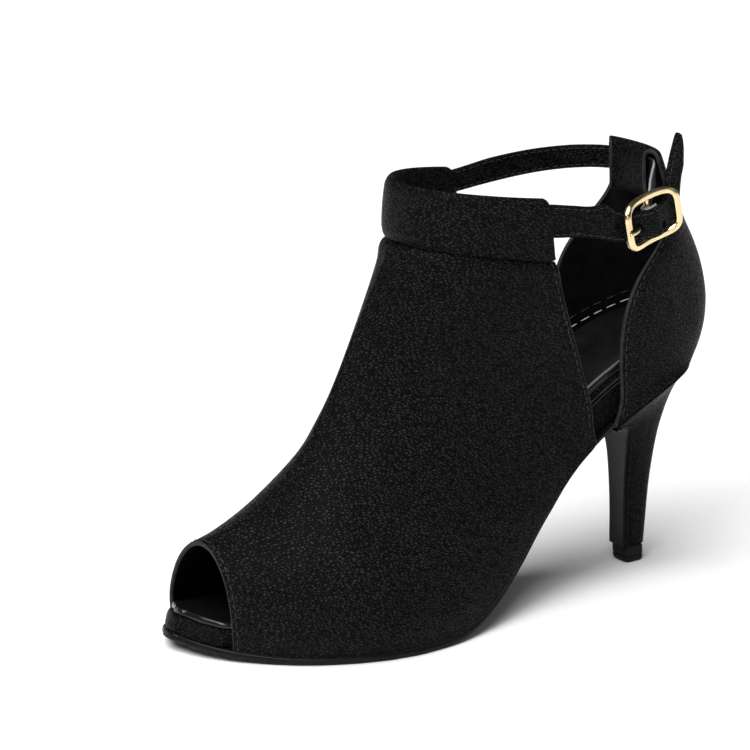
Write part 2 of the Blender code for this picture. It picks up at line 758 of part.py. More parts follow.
def build_top_piece():
    """Tread block at the bottom of the heel."""
    bpy.ops.mesh.primitive_cube_add(size=1.0)
    body = bpy.context.object
    body.name = "top_piece"
    mesh = body.data
    mesh.name = "top_piece"
    for vertex in mesh.vertices:
        x, y, z = vertex.co
        vertex.co = Vector((x * TIP_LENGTH, y * TIP_WIDTH, (z + 0.5) * TIP_HEIGHT)) * MM
    bevel = body.modifiers.new("edges", "BEVEL")
    bevel.width = TIP_BEVEL * MM
    bevel.segments = 2
    bevel.limit_method = "ANGLE"
    mesh.materials.append(material("tip_rubber"))
    mesh.shade_smooth()
    mesh.set_sharp_from_angle(angle=SHARP_ANGLE)
    for home in list(body.users_collection):
        home.objects.unlink(body)
    bpy.data.collections[COLLECTION].objects.link(body)
    return body


def edges(rows):
    """Upper and lower edge points of a table of edges."""
    upper = np.stack([rows[c] for c in ("x_up", "y_up", "z_up")], -1)
    lower = np.stack([rows[c] for c in ("x_low", "y_low", "z_low")], -1)
    return upper, lower


def upright(rows):
    """Upper and lower edge points of a band that stands upright."""
    middle = np.stack([rows[c] for c in "xyz"], -1)
    rise = np.outer(rows["half"], (0.0, 0.0, 1.0))
    return middle + rise, middle - rise


def in_buckle(rows, half):
    """Upper and lower edge points of a band that lies across the buckle."""
    lift = rows.get("up", np.zeros(len(half)))
    upper = [buckle_spot(a, u + h, out) for a, u, out, h in zip(rows["along"], lift, rows["out"], half)]
    lower = [buckle_spot(a, u - h, out) for a, u, out, h in zip(rows["along"], lift, rows["out"], half)]
    return np.array(upper), np.array(lower)


def past_buckle(rows):
    """Upper and lower edge points of the free end, which turns up past the buckle."""
    upper = [buckle_spot(*spot) for spot in zip(rows["along_up"], rows["up_up"], rows["out"])]
    lower = [buckle_spot(*spot) for spot in zip(rows["along_low"], rows["up_low"], rows["out"])]
    return np.array(upper), np.array(lower)


def refine(upper, lower, count):
    """The same edges with evenly spread rows."""
    middle = (upper + lower) / 2
    run = length_along(middle)
    at = np.linspace(0.0, run[-1], count)
    new = [np.stack([smooth(run, side[:, k], at) for k in range(3)], -1) for side in (upper, lower)]
    return new[0], new[1]


def ribbon(name, upper, lower, thick, slot):
    """A flat strap between an upper and a lower edge line."""
    ahead = np.gradient((upper + lower) / 2, axis=0)
    face = np.cross(ahead, upper - lower)
    face *= thick / 2 / np.linalg.norm(face, axis=1)[:, None]
    soft = (upper - lower) * STRAP_SOFT
    middle = (upper + lower) / 2
    rings = np.stack(
        [
            upper - soft + face,
            middle + face,
            lower + soft + face,
            lower + face * STRAP_FLAT,
            lower - face * STRAP_FLAT,
            lower + soft - face,
            middle - face,
            upper - soft - face,
            upper - face * STRAP_FLAT,
            upper + face * STRAP_FLAT,
        ],
        1,
    )
    return loft(name, rings, slot)


def build_straps():
    """Front strap, back strap and the elastic between the fold and the buckle."""
    parts = [edges(STRAP_START), in_buckle(STRAP_WEAVE, STRAP_WEAVE["half"]), past_buckle(STRAP_END)]
    upper, lower = (np.concatenate(side) for side in zip(*parts))
    strap = ribbon("strap_front", *refine(upper, lower, FRONT_ROWS), STRAP_THICK, "grain_leather")
    ribbon("strap_back", *refine(*upright(STRAP_BACK), BACK_ROWS), STRAP_THICK, "grain_leather")
    half = np.full(len(ELASTIC_FOLD["along"]), ELASTIC_HALF)
    parts = [upright(ELASTIC_RUN), in_buckle(ELASTIC_FOLD, half)]
    upper, lower = (np.concatenate(side) for side in zip(*parts))
    ribbon("elastic_loop", upper, lower, ELASTIC_THICK, "elastic_web")
    return strap


def buckle_axes():
    """Long (to the rear), up and outward axes of the buckle."""
    long = Vector((-1.0, -BUCKLE_TURN, BUCKLE_TILT)).normalized()
    out = long.cross(Vector((0.0, 0.0, 1.0))).normalized()
    up = out.cross(long).normalized()
    if up.z < 0:
        up = -up
    return np.array(long), np.array(up), np.array(out)


def buckle_spot(along_it, up_it, out_it):
    """Point in the buckle's own frame."""
    long, up, out = buckle_axes()
    return np.array(BUCKLE_CENTRE) + long * along_it + up * up_it + out * out_it


def tube(name, path, radii, slot, closed=False, sides=TUBE_SIDES):
    """A round bar of changing radius along a path."""
    path = np.asarray(path, dtype=float)
    if closed:
        ahead = np.roll(path, -1, axis=0) - np.roll(path, 1, axis=0)
    else:
        ahead = np.gradient(path, axis=0)
    ahead /= np.linalg.norm(ahead, axis=1)[:, None]
    long, _, out = buckle_axes()
    if abs(ahead[0] @ out) > 0.9:
        out = long
    rings = []
    for spot, way, radius in zip(path, ahead, radii):
        first = out - way * (out @ way)
        first /= np.linalg.norm(first)
        second = np.cross(way, first)
        turns = (np.arange(sides) + 0.5) * 2 * np.pi / sides
        rings.append([spot + radius * (np.cos(a) * first + np.sin(a) * second) for a in turns])
    return loft(name, rings, slot, capped=not closed)


def join_solid(body, tool, how):
    """Apply a Boolean of the tool on the body, then drop the tool."""
    mark = body.modifiers.new("join", "BOOLEAN")
    mark.operation = how
    mark.solver = "EXACT"
    mark.object = tool
    shape = bpy.data.meshes.new_from_object(body.evaluated_get(bpy.context.evaluated_depsgraph_get()))
    body.modifiers.clear()
    body.data = shape
    bpy.data.objects.remove(tool)
    shape.set_sharp_from_angle(angle=SHARP_ANGLE)


def build_buckle():
    """Frame with a dipped middle, its pin, and the prong resting on the front bar."""
    turns = np.arange(BUCKLE_STEPS) * 2 * np.pi / BUCKLE_STEPS
    path = []
    half_long = (BUCKLE_LONG - BUCKLE_BAR) / 2
    half_high = (BUCKLE_HIGH - BUCKLE_BAR) / 2
    for a in turns:
        c, s = np.cos(a), np.sin(a)
        u = np.sign(c) * abs(c) ** (2 / BUCKLE_SQUARE)
        v = np.sign(s) * abs(s) ** (2 / BUCKLE_SQUARE)
        path.append(buckle_spot(u * half_long, v * half_high, BUCKLE_DIP * (u * u - BUCKLE_LOW)))
    frame = tube("buckle_frame", path, [BUCKLE_BAR / 2] * len(path), "gold_metal", closed=True)
    low = -BUCKLE_LOW * BUCKLE_DIP
    ends = [buckle_spot(0.0, half_high * k, low) for k in (-1.0, 0.0, 1.0)]
    pin = tube("pin", ends, [PIN_RADIUS] * len(ends), "gold_metal")
    bpy.context.view_layer.update()
    join_solid(frame, pin, "UNION")
    path = [buckle_spot(a, PRONG_UP, b) for a, b in zip(PRONG_PATH["along"], PRONG_PATH["out"])]
    tube("buckle_prong", path, np.linspace(PRONG_RADIUS * PRONG_ROOT, PRONG_RADIUS, len(path)), "gold_metal")


def punch_strap(strap):
    """Hole in the strap for the prong, and the row of holes ahead of it."""
    for spot in PUNCHED:
        ends = [buckle_spot(spot[0], spot[1], k) for k in (-PUNCH_REACH, 0.0, PUNCH_REACH)]
        tool = tube("punch", ends, [HOLE_RADIUS] * len(ends), "gold_metal", sides=PUNCH_SIDES)
        bpy.context.view_layer.update()
        join_solid(strap, tool, "DIFFERENCE")


def main():
    """Clear the scene and build every part."""
    for old in list(bpy.data.objects):
        bpy.data.objects.remove(old)
    home = bpy.data.collections.new(COLLECTION)
    bpy.context.scene.collection.children.link(home)
    band = (0.0, OUTSOLE_THICK, OUTSOLE_SHOULDER)
    layer("outsole", BREAST_X, fixed(0.0), *band, "smooth_sole", (WAIST_RISE, 0.0))
    lift = OUTSOLE_THICK + GAP
    band = (lift, MIDSOLE_THICK, MIDSOLE_SHOULDER)
    layer("midsole", SEAT_START, band_inset, *band, "grain_leather", (0.0, 1.0))
    lift += MIDSOLE_THICK + GAP
    band = (lift, INSOLE_THICK, INSOLE_SHOULDER)
    layer("insole", SEAT_START, insole_inset, *band, "gloss_lining", (1.0, 1.0))
    build_vamp()
    build_cuff()
    build_counter()
    rings = build_heel()[1]
    build_breast_cover(rings)
    build_top_piece()
    strap = build_straps()
    build_buckle()
    punch_strap(strap)


main()
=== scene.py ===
"""Looks of the ankle boot sandal: skins, linings, stitches, buckle, floor, light and camera."""

import bmesh
import bpy
import numpy as np
from mathutils import Matrix, Vector


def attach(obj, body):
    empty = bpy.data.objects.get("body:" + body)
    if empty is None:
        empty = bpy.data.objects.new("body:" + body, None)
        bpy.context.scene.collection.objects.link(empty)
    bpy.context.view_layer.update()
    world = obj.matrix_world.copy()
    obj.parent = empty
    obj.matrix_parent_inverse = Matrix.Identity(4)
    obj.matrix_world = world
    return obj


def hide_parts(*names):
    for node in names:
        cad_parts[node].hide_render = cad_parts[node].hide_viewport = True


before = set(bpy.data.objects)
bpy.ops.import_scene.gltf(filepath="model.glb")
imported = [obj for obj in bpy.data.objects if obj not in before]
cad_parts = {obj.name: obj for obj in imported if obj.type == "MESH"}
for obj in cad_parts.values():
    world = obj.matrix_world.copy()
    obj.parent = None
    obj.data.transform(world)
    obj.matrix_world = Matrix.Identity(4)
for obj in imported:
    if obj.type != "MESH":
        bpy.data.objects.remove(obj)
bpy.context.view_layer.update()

# Frame: X towards the toe, Y towards the outer (buckle) side, Z up.
# Lengths here are millimetres, and the meshes are written in metres.
MM = 0.001

# Sizes of the shoe
SHOE_LENGTH = 229.0
BALL_WIDTH = 82.0
SEAT_HEIGHT = 84.0
COLLAR_HEIGHT = 170.0

# Thicknesses and clearances
GAP = 0.3
OUTSOLE_THICK = 2.6
MIDSOLE_THICK = 6.4
SEAT_PAD = 8.5
WAIST_RISE = 0.2
INSOLE_THICK = 2.4
UPPER_WALL = 1.8
CUFF_THICK = 4.6
STRAP_THICK = 1.9
ELASTIC_THICK = 1.0
ELASTIC_HALF = 5.0
COVER_THICK = 0.9
COVER_IN = 0.2

# Heel tip
TIP_LENGTH = 8.6
TIP_WIDTH = 10.6
TIP_HEIGHT = 6.7
HEEL_FOOT = TIP_HEIGHT + GAP
HEEL_RISE = SEAT_HEIGHT - HEEL_FOOT

# How far the bottom parts stand in from the shoe's outline
COVERED_INSET = 2.9
BARE_INSET = 0.5
INSOLE_INSET = 1.6
BREAST_X = 20.0

# How the fold of the counter draws in as it goes over and down
FOLD_FORWARD = 0.25
FOLD_SHORTER = 1.35
FOLD_DRAW = 0.05
PAD_END = 110.0
PAD_FULL = 45.0
# Where the toe opening bares the midsole, and over what length it steps out
BARE_OUTER = 184.6
BARE_INNER = 188.4
BARE_BLEND = 2.4
# Start of the seat
SEAT_START = -40.0

# Buckle, in its own frame: long axis, up axis, outward axis
BUCKLE_DROP = 23.4
BUCKLE_CENTRE = (8.2, 30.1, COLLAR_HEIGHT - BUCKLE_DROP)
BUCKLE_LONG = 28.7
BUCKLE_HIGH = 19.6
BUCKLE_BAR = 2.3
BUCKLE_DIP = 2.9
BUCKLE_TILT = 0.19
BUCKLE_TURN = 0.16
BUCKLE_SQUARE = 4.6
BUCKLE_LOW = 0.45
PUNCHED = ((-7.0, -0.5), (-16.6, 3.9), (3.9, -3.4))
PIN_RADIUS = 1.0
PRONG_RADIUS = 0.65
PRONG_ROOT = 1.15
HOLE_RADIUS = 1.7
PRONG_UP = -0.5

# Rows and columns of the meshes
OUTLINE_STATIONS = 130
VAMP_ROWS = 132
VAMP_COLUMNS = 150
CUFF_COLUMNS = 150
CUFF_POINTS = 44
COUNTER_COLUMNS = 150
COUNTER_ROW_STEPS = 5
HEEL_ROW_STEPS = 6
STRAP_ROWS = 190
RIM_STEPS = 3
# Angle in radians past which an edge is left sharp
SHARP_ANGLE = 0.9
# Share of a section that keeps two columns apart
CLOSEST = 0.001


def table(columns, sizes, rows):
    """Columns of a table by name, each share times the size it is a share of."""
    values = np.array(rows) * np.array(sizes)
    return dict(zip(columns.split(), values.T))


# Underside of the sole along the foot
SOLE_LINE = table(
    "x z",
    (SHOE_LENGTH, SEAT_HEIGHT),
    (
        (-0.1354, 0.9833),
        (-0.0873, 0.9619),
        (-0.0437, 0.9286),
        (0.0, 0.8833),
        (0.0437, 0.8286),
        (0.0917, 0.7476),
        (0.131, 0.6714),
        (0.1659, 0.5929),
        (0.2271, 0.4167),
        (0.3057, 0.2143),
        (0.3537, 0.119),
        (0.4061, 0.0452),
        (0.4498, 0.0095),
        (0.4891, 0.0),
        (0.5677, 0.0),
        (0.6463, 0.0),
        (0.7205, 0.0036),
        (0.786, 0.0179),
        (0.8297, 0.0381),
        (0.8603, 0.0619),
    ),
)

# Outline of the shoe at the feather line, from the seat's back to the toe tip
OUTLINE = table(
    "x outer inner",
    (SHOE_LENGTH, BALL_WIDTH, BALL_WIDTH),
    (
        (-0.1109, 0.0488, -0.0488),
        (-0.1031, 0.1293, -0.1293),
        (-0.0856, 0.2024, -0.2024),
        (-0.0594, 0.2537, -0.2537),
        (-0.0175, 0.2854, -0.2854),
        (0.0306, 0.2951, -0.2951),
        (0.0873, 0.2805, -0.2805),
        (0.1572, 0.2732, -0.2707),
        (0.2271, 0.2927, -0.2756),
        (0.2969, 0.3463, -0.3),
        (0.3581, 0.4049, -0.339),
        (0.4148, 0.4512, -0.3854),
        (0.4716, 0.4805, -0.4317),
        (0.524, 0.4878, -0.4707),
        (0.5764, 0.4683, -0.4951),
        (0.6245, 0.4244, -0.5061),
        (0.6681, 0.3659, -0.5073),
        (0.7074, 0.2976, -0.5024),
        (0.7424, 0.2195, -0.4951),
        (0.7729, 0.139, -0.4854),
        (0.8013, 0.0537, -0.4683),
        (0.8253, -0.0415, -0.4366),
        (0.8428, -0.1293, -0.3927),
        (0.8524, -0.2073, -0.3293),
    ),
)

# Ridge of the vamp from the toe opening up to the cuff, and the foot of its wall
VAMP_LINE = table(
    "t ridge_x ridge_y ridge_z foot_x round tuck",
    (1.0, SHOE_LENGTH, BALL_WIDTH, COLLAR_HEIGHT, SHOE_LENGTH, 1.0, 1.0),
    (
        (0.0, 0.8052, -0.1341, 0.2447, 0.7991, 1.95, 0.16),
        (0.08, 0.7686, -0.1268, 0.2565, 0.7489, 1.85, 0.2),
        (0.16, 0.731, -0.1195, 0.2776, 0.6878, 1.8, 0.22),
        (0.24, 0.6943, -0.1122, 0.3059, 0.6201, 1.76, 0.24),
        (0.32, 0.6594, -0.1049, 0.3435, 0.5415, 1.76, 0.24),
        (0.4, 0.6262, -0.0951, 0.3906, 0.452, 1.78, 0.22),
        (0.48, 0.5956, -0.0854, 0.4471, 0.3581, 1.82, 0.2),
        (0.56, 0.5677, -0.0756, 0.5094, 0.262, 1.88, 0.16),
        (0.63, 0.545, -0.0683, 0.5706, 0.1834, 1.92, 0.12),
        (0.7, 0.524, -0.061, 0.6318, 0.1201, 1.96, 0.08),
        (0.8, 0.4952, -0.0463, 0.7141, 0.1201, 2.0, 0.04),
        (0.9, 0.4664, -0.0317, 0.7918, 0.1201, 2.05, 0.02),
        (1.0, 0.4402, -0.0195, 0.8647, 0.1201, 2.1, 0.0),
    ),
)
VAMP_CORNER = 0.70
INNER_SIDE = 0.95
# How far ahead the inner foot of the toe opening stands, and over what share it blends in
INNER_AHEAD = 3.0
AHEAD_SHARE = 0.16
# How much closer the columns stand near the shoulders of the section
VAMP_SPREAD = 0.035
# Over what length the wall comes in to the outline at its foot, and where that fades out
FOOT_BLEND = 14.0
CORNER_BLEND = 0.12

# Rear edge of the vamp, from the feather line up to the cuff
VAMP_EDGE = table(
    "t x y z",
    (1.0, SHOE_LENGTH, BALL_WIDTH, COLLAR_HEIGHT),
    (
        (0.7, 0.1406, 0.278, 0.3647),
        (0.75, 0.1493, 0.3, 0.4471),
        (0.8, 0.1686, 0.3244, 0.5235),
        (0.85, 0.1886, 0.3488, 0.6),
        (0.9, 0.2079, 0.3683, 0.6735),
        (0.95, 0.2249, 0.3829, 0.7471),
        (1.0, 0.2376, 0.3902, 0.8118),
    ),
)

# Sections of the cuff: how far it stands out and up, going round its padded profile
CUFF_PROFILE = table(
    "out up",
    (CUFF_THICK, 1.0),
    (
        (0.1087, 0.0),
        (0.1848, 0.1),
        (0.2065, 0.32),
        (0.1522, 0.66),
        (0.0652, 0.86),
        (-0.1087, 0.97),
        (-0.3913, 1.0),
        (-0.6739, 0.95),
        (-0.8261, 0.84),
        (-0.8478, 0.62),
        (-0.7826, 0.3),
        (-0.5217, 0.0),
    ),
)
# Foot and top of the cuff from the outer end (0) round the front (1) to the inner end
CUFF_RIM = table(
    "around lift height lean",
    (1.0, COLLAR_HEIGHT, COLLAR_HEIGHT, SHOE_LENGTH),
    (
        (0.0, 0.0018, 0.1447, 0.0087),
        (0.5, 0.0018, 0.1329, -0.0087),
        (1.0, 0.0018, 0.1212, -0.0245),
    ),
)

# Outer face of the counter and the fold that carries the strap, row by row
COUNTER_ROWS = table(
    "front_x front_y front_z back_x back_z square aside inner",
    (SHOE_LENGTH, BALL_WIDTH, COLLAR_HEIGHT, SHOE_LENGTH, COLLAR_HEIGHT, 1.0, BALL_WIDTH, SHOE_LENGTH),
    (
        (0.0786, 0.3, 0.4471, -0.1345, 0.5271, 2.5, 0.0, 0.0),
        (0.0821, 0.3049, 0.5176, -0.1476, 0.5765, 2.45, 0.0, 0.0),
        (0.0803, 0.3073, 0.5765, -0.1511, 0.6235, 2.4, 0.0, 0.0),
        (0.0725, 0.3098, 0.6353, -0.1459, 0.6706, 2.35, 0.0, 0.0),
        (0.0559, 0.3098, 0.6941, -0.1362, 0.7176, 2.3, 0.0, 0.0044),
        (0.0306, 0.3073, 0.7412, -0.1227, 0.7624, 2.25, -0.0024, 0.0087),
        (0.0017, 0.2976, 0.78, -0.1079, 0.8035, 2.2, -0.0061, 0.0109),
        (-0.0245, 0.2829, 0.8212, -0.0926, 0.8412, 2.15, -0.011, 0.0066),
        (-0.0402, 0.2659, 0.8624, -0.0777, 0.88, 2.1, -0.0171, -0.0031),
        (-0.0376, 0.239, 0.9118, -0.0655, 0.9212, 2.05, -0.0317, -0.0157),
        (-0.0288, 0.2317, 0.9671, -0.055, 0.9671, 2.0, -0.039, -0.0157),
    ),
)
FOLD_ROWS = table(
    "inward z",
    (UPPER_WALL, COLLAR_HEIGHT),
    (
        (0.5, 0.9824),
        (1.8333, 0.9894),
        (3.1667, 0.9824),
        (3.6667, 0.9671),
        (3.6667, 0.9259),
        (3.5556, 0.8918),
        (2.7778, 0.8694),
    ),
)

# Rings of the heel from under the seat down to the tip
HEEL_RINGS = table(
    "back_x back_rise front_x front_rise half",
    (SHOE_LENGTH, HEEL_RISE, SHOE_LENGTH, HEEL_RISE, BALL_WIDTH),
    (
        (-0.1057, 0.9143, 0.0332, 0.6935, 0.1707),
        (-0.0908, 0.8234, 0.0201, 0.6519, 0.1317),
        (-0.076, 0.7169, 0.0162, 0.5844, 0.1061),
        (-0.0624, 0.5922, 0.0148, 0.4883, 0.0854),
        (-0.0515, 0.4494, 0.0153, 0.3714, 0.072),
        (-0.0428, 0.3117, 0.0157, 0.2597, 0.0659),
        (-0.0362, 0.1636, 0.0166, 0.1377, 0.0634),
        (-0.031, 0.0468, 0.0175, 0.0416, 0.064),
        (-0.0288, 0.0, 0.0175, 0.0, 0.0646),
    ),
)

# Edges of the front strap from the cuff to the buckle
STRAP_START = table(
    "x_up y_up z_up x_low y_low z_low",
    (SHOE_LENGTH, BALL_WIDTH, COLLAR_HEIGHT, SHOE_LENGTH, BALL_WIDTH, COLLAR_HEIGHT),
    (
        (0.2371, 0.4, 0.9412, 0.2341, 0.4, 0.8659),
        (0.1939, 0.3951, 0.9288, 0.193, 0.3951, 0.8576),
        (0.1594, 0.3927, 0.92, 0.1585, 0.3927, 0.8471),
        (0.1328, 0.3866, 0.9188, 0.131, 0.3866, 0.8353),
    ),
)
# The free end, from under the rear bar up to its tip, in the buckle's own frame
STRAP_END = table(
    "along_up up_up along_low up_low out",
    (BUCKLE_LONG, BUCKLE_HIGH, BUCKLE_LONG, BUCKLE_HIGH, BUCKLE_BAR),
    (
        (0.3972, 0.3163, 0.5087, -0.2245, -0.7826),
        (0.4111, 0.398, 0.5993, -0.0204, -0.9565),
        (0.439, 0.5306, 0.6585, 0.2245, -1.0435),
        (0.5017, 0.7347, 0.7178, 0.4694, -1.0435),
        (0.5784, 0.9592, 0.7875, 0.6939, -1.0),
        (0.662, 1.1633, 0.8153, 0.9184, -0.9565),
        (0.7317, 1.3061, 0.8293, 1.1429, -0.9565),
        (0.777, 1.352, 0.8188, 1.2806, -0.9565),
    ),
)
# The front strap inside the buckle, in the buckle's own frame
STRAP_WEAVE = table(
    "along out half up",
    (BUCKLE_LONG, BUCKLE_BAR, BUCKLE_HIGH, BUCKLE_HIGH),
    (
        (-0.6063, -0.5652, 0.3469, 0.2041),
        (-0.4878, -0.5217, 0.3112, 0.102),
        (-0.3693, -0.3478, 0.301, 0.0306),
        (-0.1742, 0.5217, 0.2959, -0.0306),
        (0.0, 1.0, 0.2959, -0.051),
        (0.1742, 0.5217, 0.2959, -0.051),
        (0.3484, -0.4783, 0.2959, -0.0255),
    ),
)
# Middle of the back strap, its height and its half width
STRAP_BACK = table(
    "x y z half",
    (SHOE_LENGTH, BALL_WIDTH, COLLAR_HEIGHT, BALL_WIDTH),
    (
        (0.2367, -0.3878, 0.9276, 0.0549),
        (0.1659, -0.3854, 0.9371, 0.0585),
        (0.0873, -0.3683, 0.9424, 0.0573),
        (0.0306, -0.3268, 0.9435, 0.0561),
        (-0.0026, -0.2768, 0.9429, 0.0549),
        (-0.0258, -0.2232, 0.9412, 0.0549),
        (-0.0406, -0.1537, 0.94, 0.0537),
        (-0.0432, -0.0732, 0.9388, 0.0537),
        (-0.0424, 0.0, 0.9376, 0.0537),
        (-0.0419, 0.0439, 0.9365, 0.0537),
    ),
)
# The elastic: from the fold to the buckle, then round its pin
ELASTIC_RUN = table(
    "x y z half",
    (SHOE_LENGTH, BALL_WIDTH, COLLAR_HEIGHT, BALL_WIDTH),
    (
        (-0.0415, 0.0488, 0.9353, 0.0537),
        (-0.0389, 0.1, 0.9353, 0.0537),
        (-0.0301, 0.1439, 0.9329, 0.0537),
        (-0.014, 0.1927, 0.9235, 0.0561),
        (0.0039, 0.2439, 0.9071, 0.0585),
        (0.021, 0.2976, 0.8871, 0.061),
    ),
)
ELASTIC_FOLD = table(
    "along out",
    (BUCKLE_LONG, BUCKLE_BAR),
    (
        (0.0348, -1.3913),
        (0.0, -1.3478),
        (-0.0443, -1.1174),
        (-0.0627, -0.5652),
        (-0.0443, -0.013),
        (0.0, 0.2174),
        (0.0557, 0.1739),
        (0.1254, 0.0),
    ),
)
PRONG_PATH = table(
    "along out",
    (BUCKLE_LONG, BUCKLE_BAR),
    (
        (-0.2753, -0.087),
        (-0.277, 0.3478),
        (-0.2892, 0.7826),
        (-0.3206, 1.1739),
        (-0.3693, 1.4348),
        (-0.439, 1.6304),
        (-0.5226, 1.6522),
    ),
)


def smooth(knots, values, at):
    """Cubic through the knots that keeps the table's shape, with no overshoot."""
    at = np.clip(np.asarray(at, dtype=float), knots[0], knots[-1])
    steps = np.diff(knots)
    rises = np.diff(values) / steps
    slopes = np.empty(len(knots))
    slopes[0] = rises[0]
    slopes[-1] = rises[-1]
    for i in range(1, len(knots) - 1):
        before, after = rises[i - 1], rises[i]
        slopes[i] = 0.0 if before * after <= 0.0 else 2.0 * before * after / (before + after)
    cell = np.clip(np.searchsorted(knots, at, side="right") - 1, 0, len(steps) - 1)
    step = steps[cell]
    f = (at - knots[cell]) / step
    return (
        values[cell] * (1 + 2 * f) * (1 - f) ** 2
        + values[cell + 1] * f * f * (3 - 2 * f)
        + slopes[cell] * step * f * (1 - f) ** 2
        - slopes[cell + 1] * step * f * f * (1 - f)
    )


def along(rows, column, at, key="t"):
    """A column of a table, read smoothly at a parameter."""
    return smooth(rows[key], rows[column], at)


def squared(value, power):
    """A value between -1 and 1 raised to a power, with its sign kept."""
    return np.sign(value) * np.abs(value) ** power


def sole_point(x, y, lift):
    """Point above the sole's underside, lifted square to it."""
    reach = 0.5
    x = np.asarray(x, dtype=float)
    z = along(SOLE_LINE, "z", x, "x")
    rise = (along(SOLE_LINE, "z", x + reach, "x") - along(SOLE_LINE, "z", x - reach, "x")) / (2 * reach)
    scale = np.hypot(1.0, rise)
    return np.stack(np.broadcast_arrays(x - lift * rise / scale, y, z + lift / scale), -1)


def length_along(path):
    """Run of a path from its first point."""
    return np.concatenate([[0.0], np.cumsum(np.linalg.norm(np.diff(path, axis=0), axis=1))])


def seat_edge(inset):
    """Outline of the seat from its outer front corner round the back to the inner one."""
    outer, inner = outline(SEAT_START, fixed(inset))
    outer, inner = outer[outer[:, 0] < BREAST_X - GAP], inner[inner[:, 0] < BREAST_X - GAP]
    for side in (outer, inner):
        side[-1, 0] = BREAST_X - GAP
    return np.concatenate([outer[::-1], inner])


def band_inset(x, side):
    """Inset of the midsole: deep where the upper covers it, slight at the open toe."""
    opens = np.where(side > 0, BARE_OUTER, BARE_INNER)
    share = np.clip((x - opens) / BARE_BLEND, 0.0, 1.0)
    return COVERED_INSET + (BARE_INSET - COVERED_INSET) * share * share * (3 - 2 * share)


def insole_inset(x, side):
    """Inset of the insole: a little inside the midsole."""
    return band_inset(x, side) + INSOLE_INSET


def fixed(amount):
    """An inset that is the same all round."""
    return lambda x, side: np.full(len(x), amount)


def pad(x):
    """Extra depth of the midsole under the seat and the waist."""
    share = np.clip((PAD_END - np.asarray(x)) / (PAD_END - PAD_FULL), 0.0, 1.0)
    return SEAT_PAD * share * share * (3 - 2 * share)


def unit(ways):
    """Ways at length one, row by row."""
    return ways / np.linalg.norm(ways, axis=1)[:, None]


def normals(grid):
    """Unit normals of a grid of points."""
    down, across = np.gradient(grid, axis=0), np.gradient(grid, axis=1)
    turned = np.cross(down, across)
    return turned / np.linalg.norm(turned, axis=-1, keepdims=True)


def vamp_foot(t, side):
    """Where the vamp's wall ends at t: on the feather line, then up its rear edge."""
    if t <= VAMP_CORNER:
        x = along(VAMP_LINE, "foot_x", t)
        column = "outer" if side > 0 else "inner"
        x += 0.0 if side > 0 else INNER_AHEAD * (1.0 - min(t / AHEAD_SHARE, 1.0))
        y = np.interp(x, OUTLINE["x"], OUTLINE[column])
        return sole_point(x, y, OUTSOLE_THICK + GAP)
    x, y, z = (along(VAMP_EDGE, c, t) for c in "xyz")
    return np.array([x, y if side > 0 else -y * INNER_SIDE, z])


def vamp_section(t, angles):
    """Section of the vamp's outer face from the outer foot over the ridge to the inner foot."""
    ridge = np.array([along(VAMP_LINE, c, t) for c in ("ridge_x", "ridge_y", "ridge_z")])
    outer, inner = vamp_foot(t, 1), vamp_foot(t, -1)
    power = 2.0 / along(VAMP_LINE, "round", t)
    tuck = along(VAMP_LINE, "tuck", t)
    low = np.sin(tuck) ** power
    base = (outer + inner) / 2
    centre = base + (ridge - base) * low / (1 + low)
    half = (outer - inner) / 2 / np.cos(tuck) ** power
    turn = -tuck + angles * (np.pi + 2 * tuck)
    across, up = squared(np.cos(turn), power), squared(np.sin(turn), power)
    return centre + across[:, None] * half + up[:, None] * (ridge - centre)


def vamp_faces(rows, angles):
    """Outer and inner faces of the vamp: full above, flush with the outline at its foot."""
    base = np.array([vamp_section(t, angles) for t in rows])
    away = normals(base)
    steps = np.linalg.norm(np.diff(base, axis=1), axis=-1)
    run = np.concatenate([np.zeros((len(rows), 1)), np.cumsum(steps, axis=1)], 1)
    near = np.clip(np.minimum(run, run[:, -1:] - run) / FOOT_BLEND, 0.0, 1.0)
    low = np.clip((VAMP_CORNER - np.asarray(rows)) / CORNER_BLEND, 0.0, 1.0)[:, None]
    full = 1.0 - low * (1.0 - near) ** 2
    outside = base + away * (UPPER_WALL * full)[..., None]
    inside = outside - away * UPPER_WALL
    outside[-1, :, 2] = base[-1, :, 2]
    inside[-1, :, 2] = base[-1, :, 2]
    return outside, inside


def counter_row(front_x, front_y, front_z, back_x, back_z, square, aside, inner, angles):
    """One row of the counter, from its outer front edge round the back to the inner one."""
    turn = angles * np.pi
    across = squared(np.cos(turn), 2.0 / square)
    depth = np.abs(np.sin(turn)) ** (2.0 / square)
    return np.stack(
        [
            front_x + (back_x - front_x) * depth + inner * angles * (1.0 - depth),
            aside + front_y * across,
            front_z + (back_z - front_z) * depth,
        ],
        -1,
    )


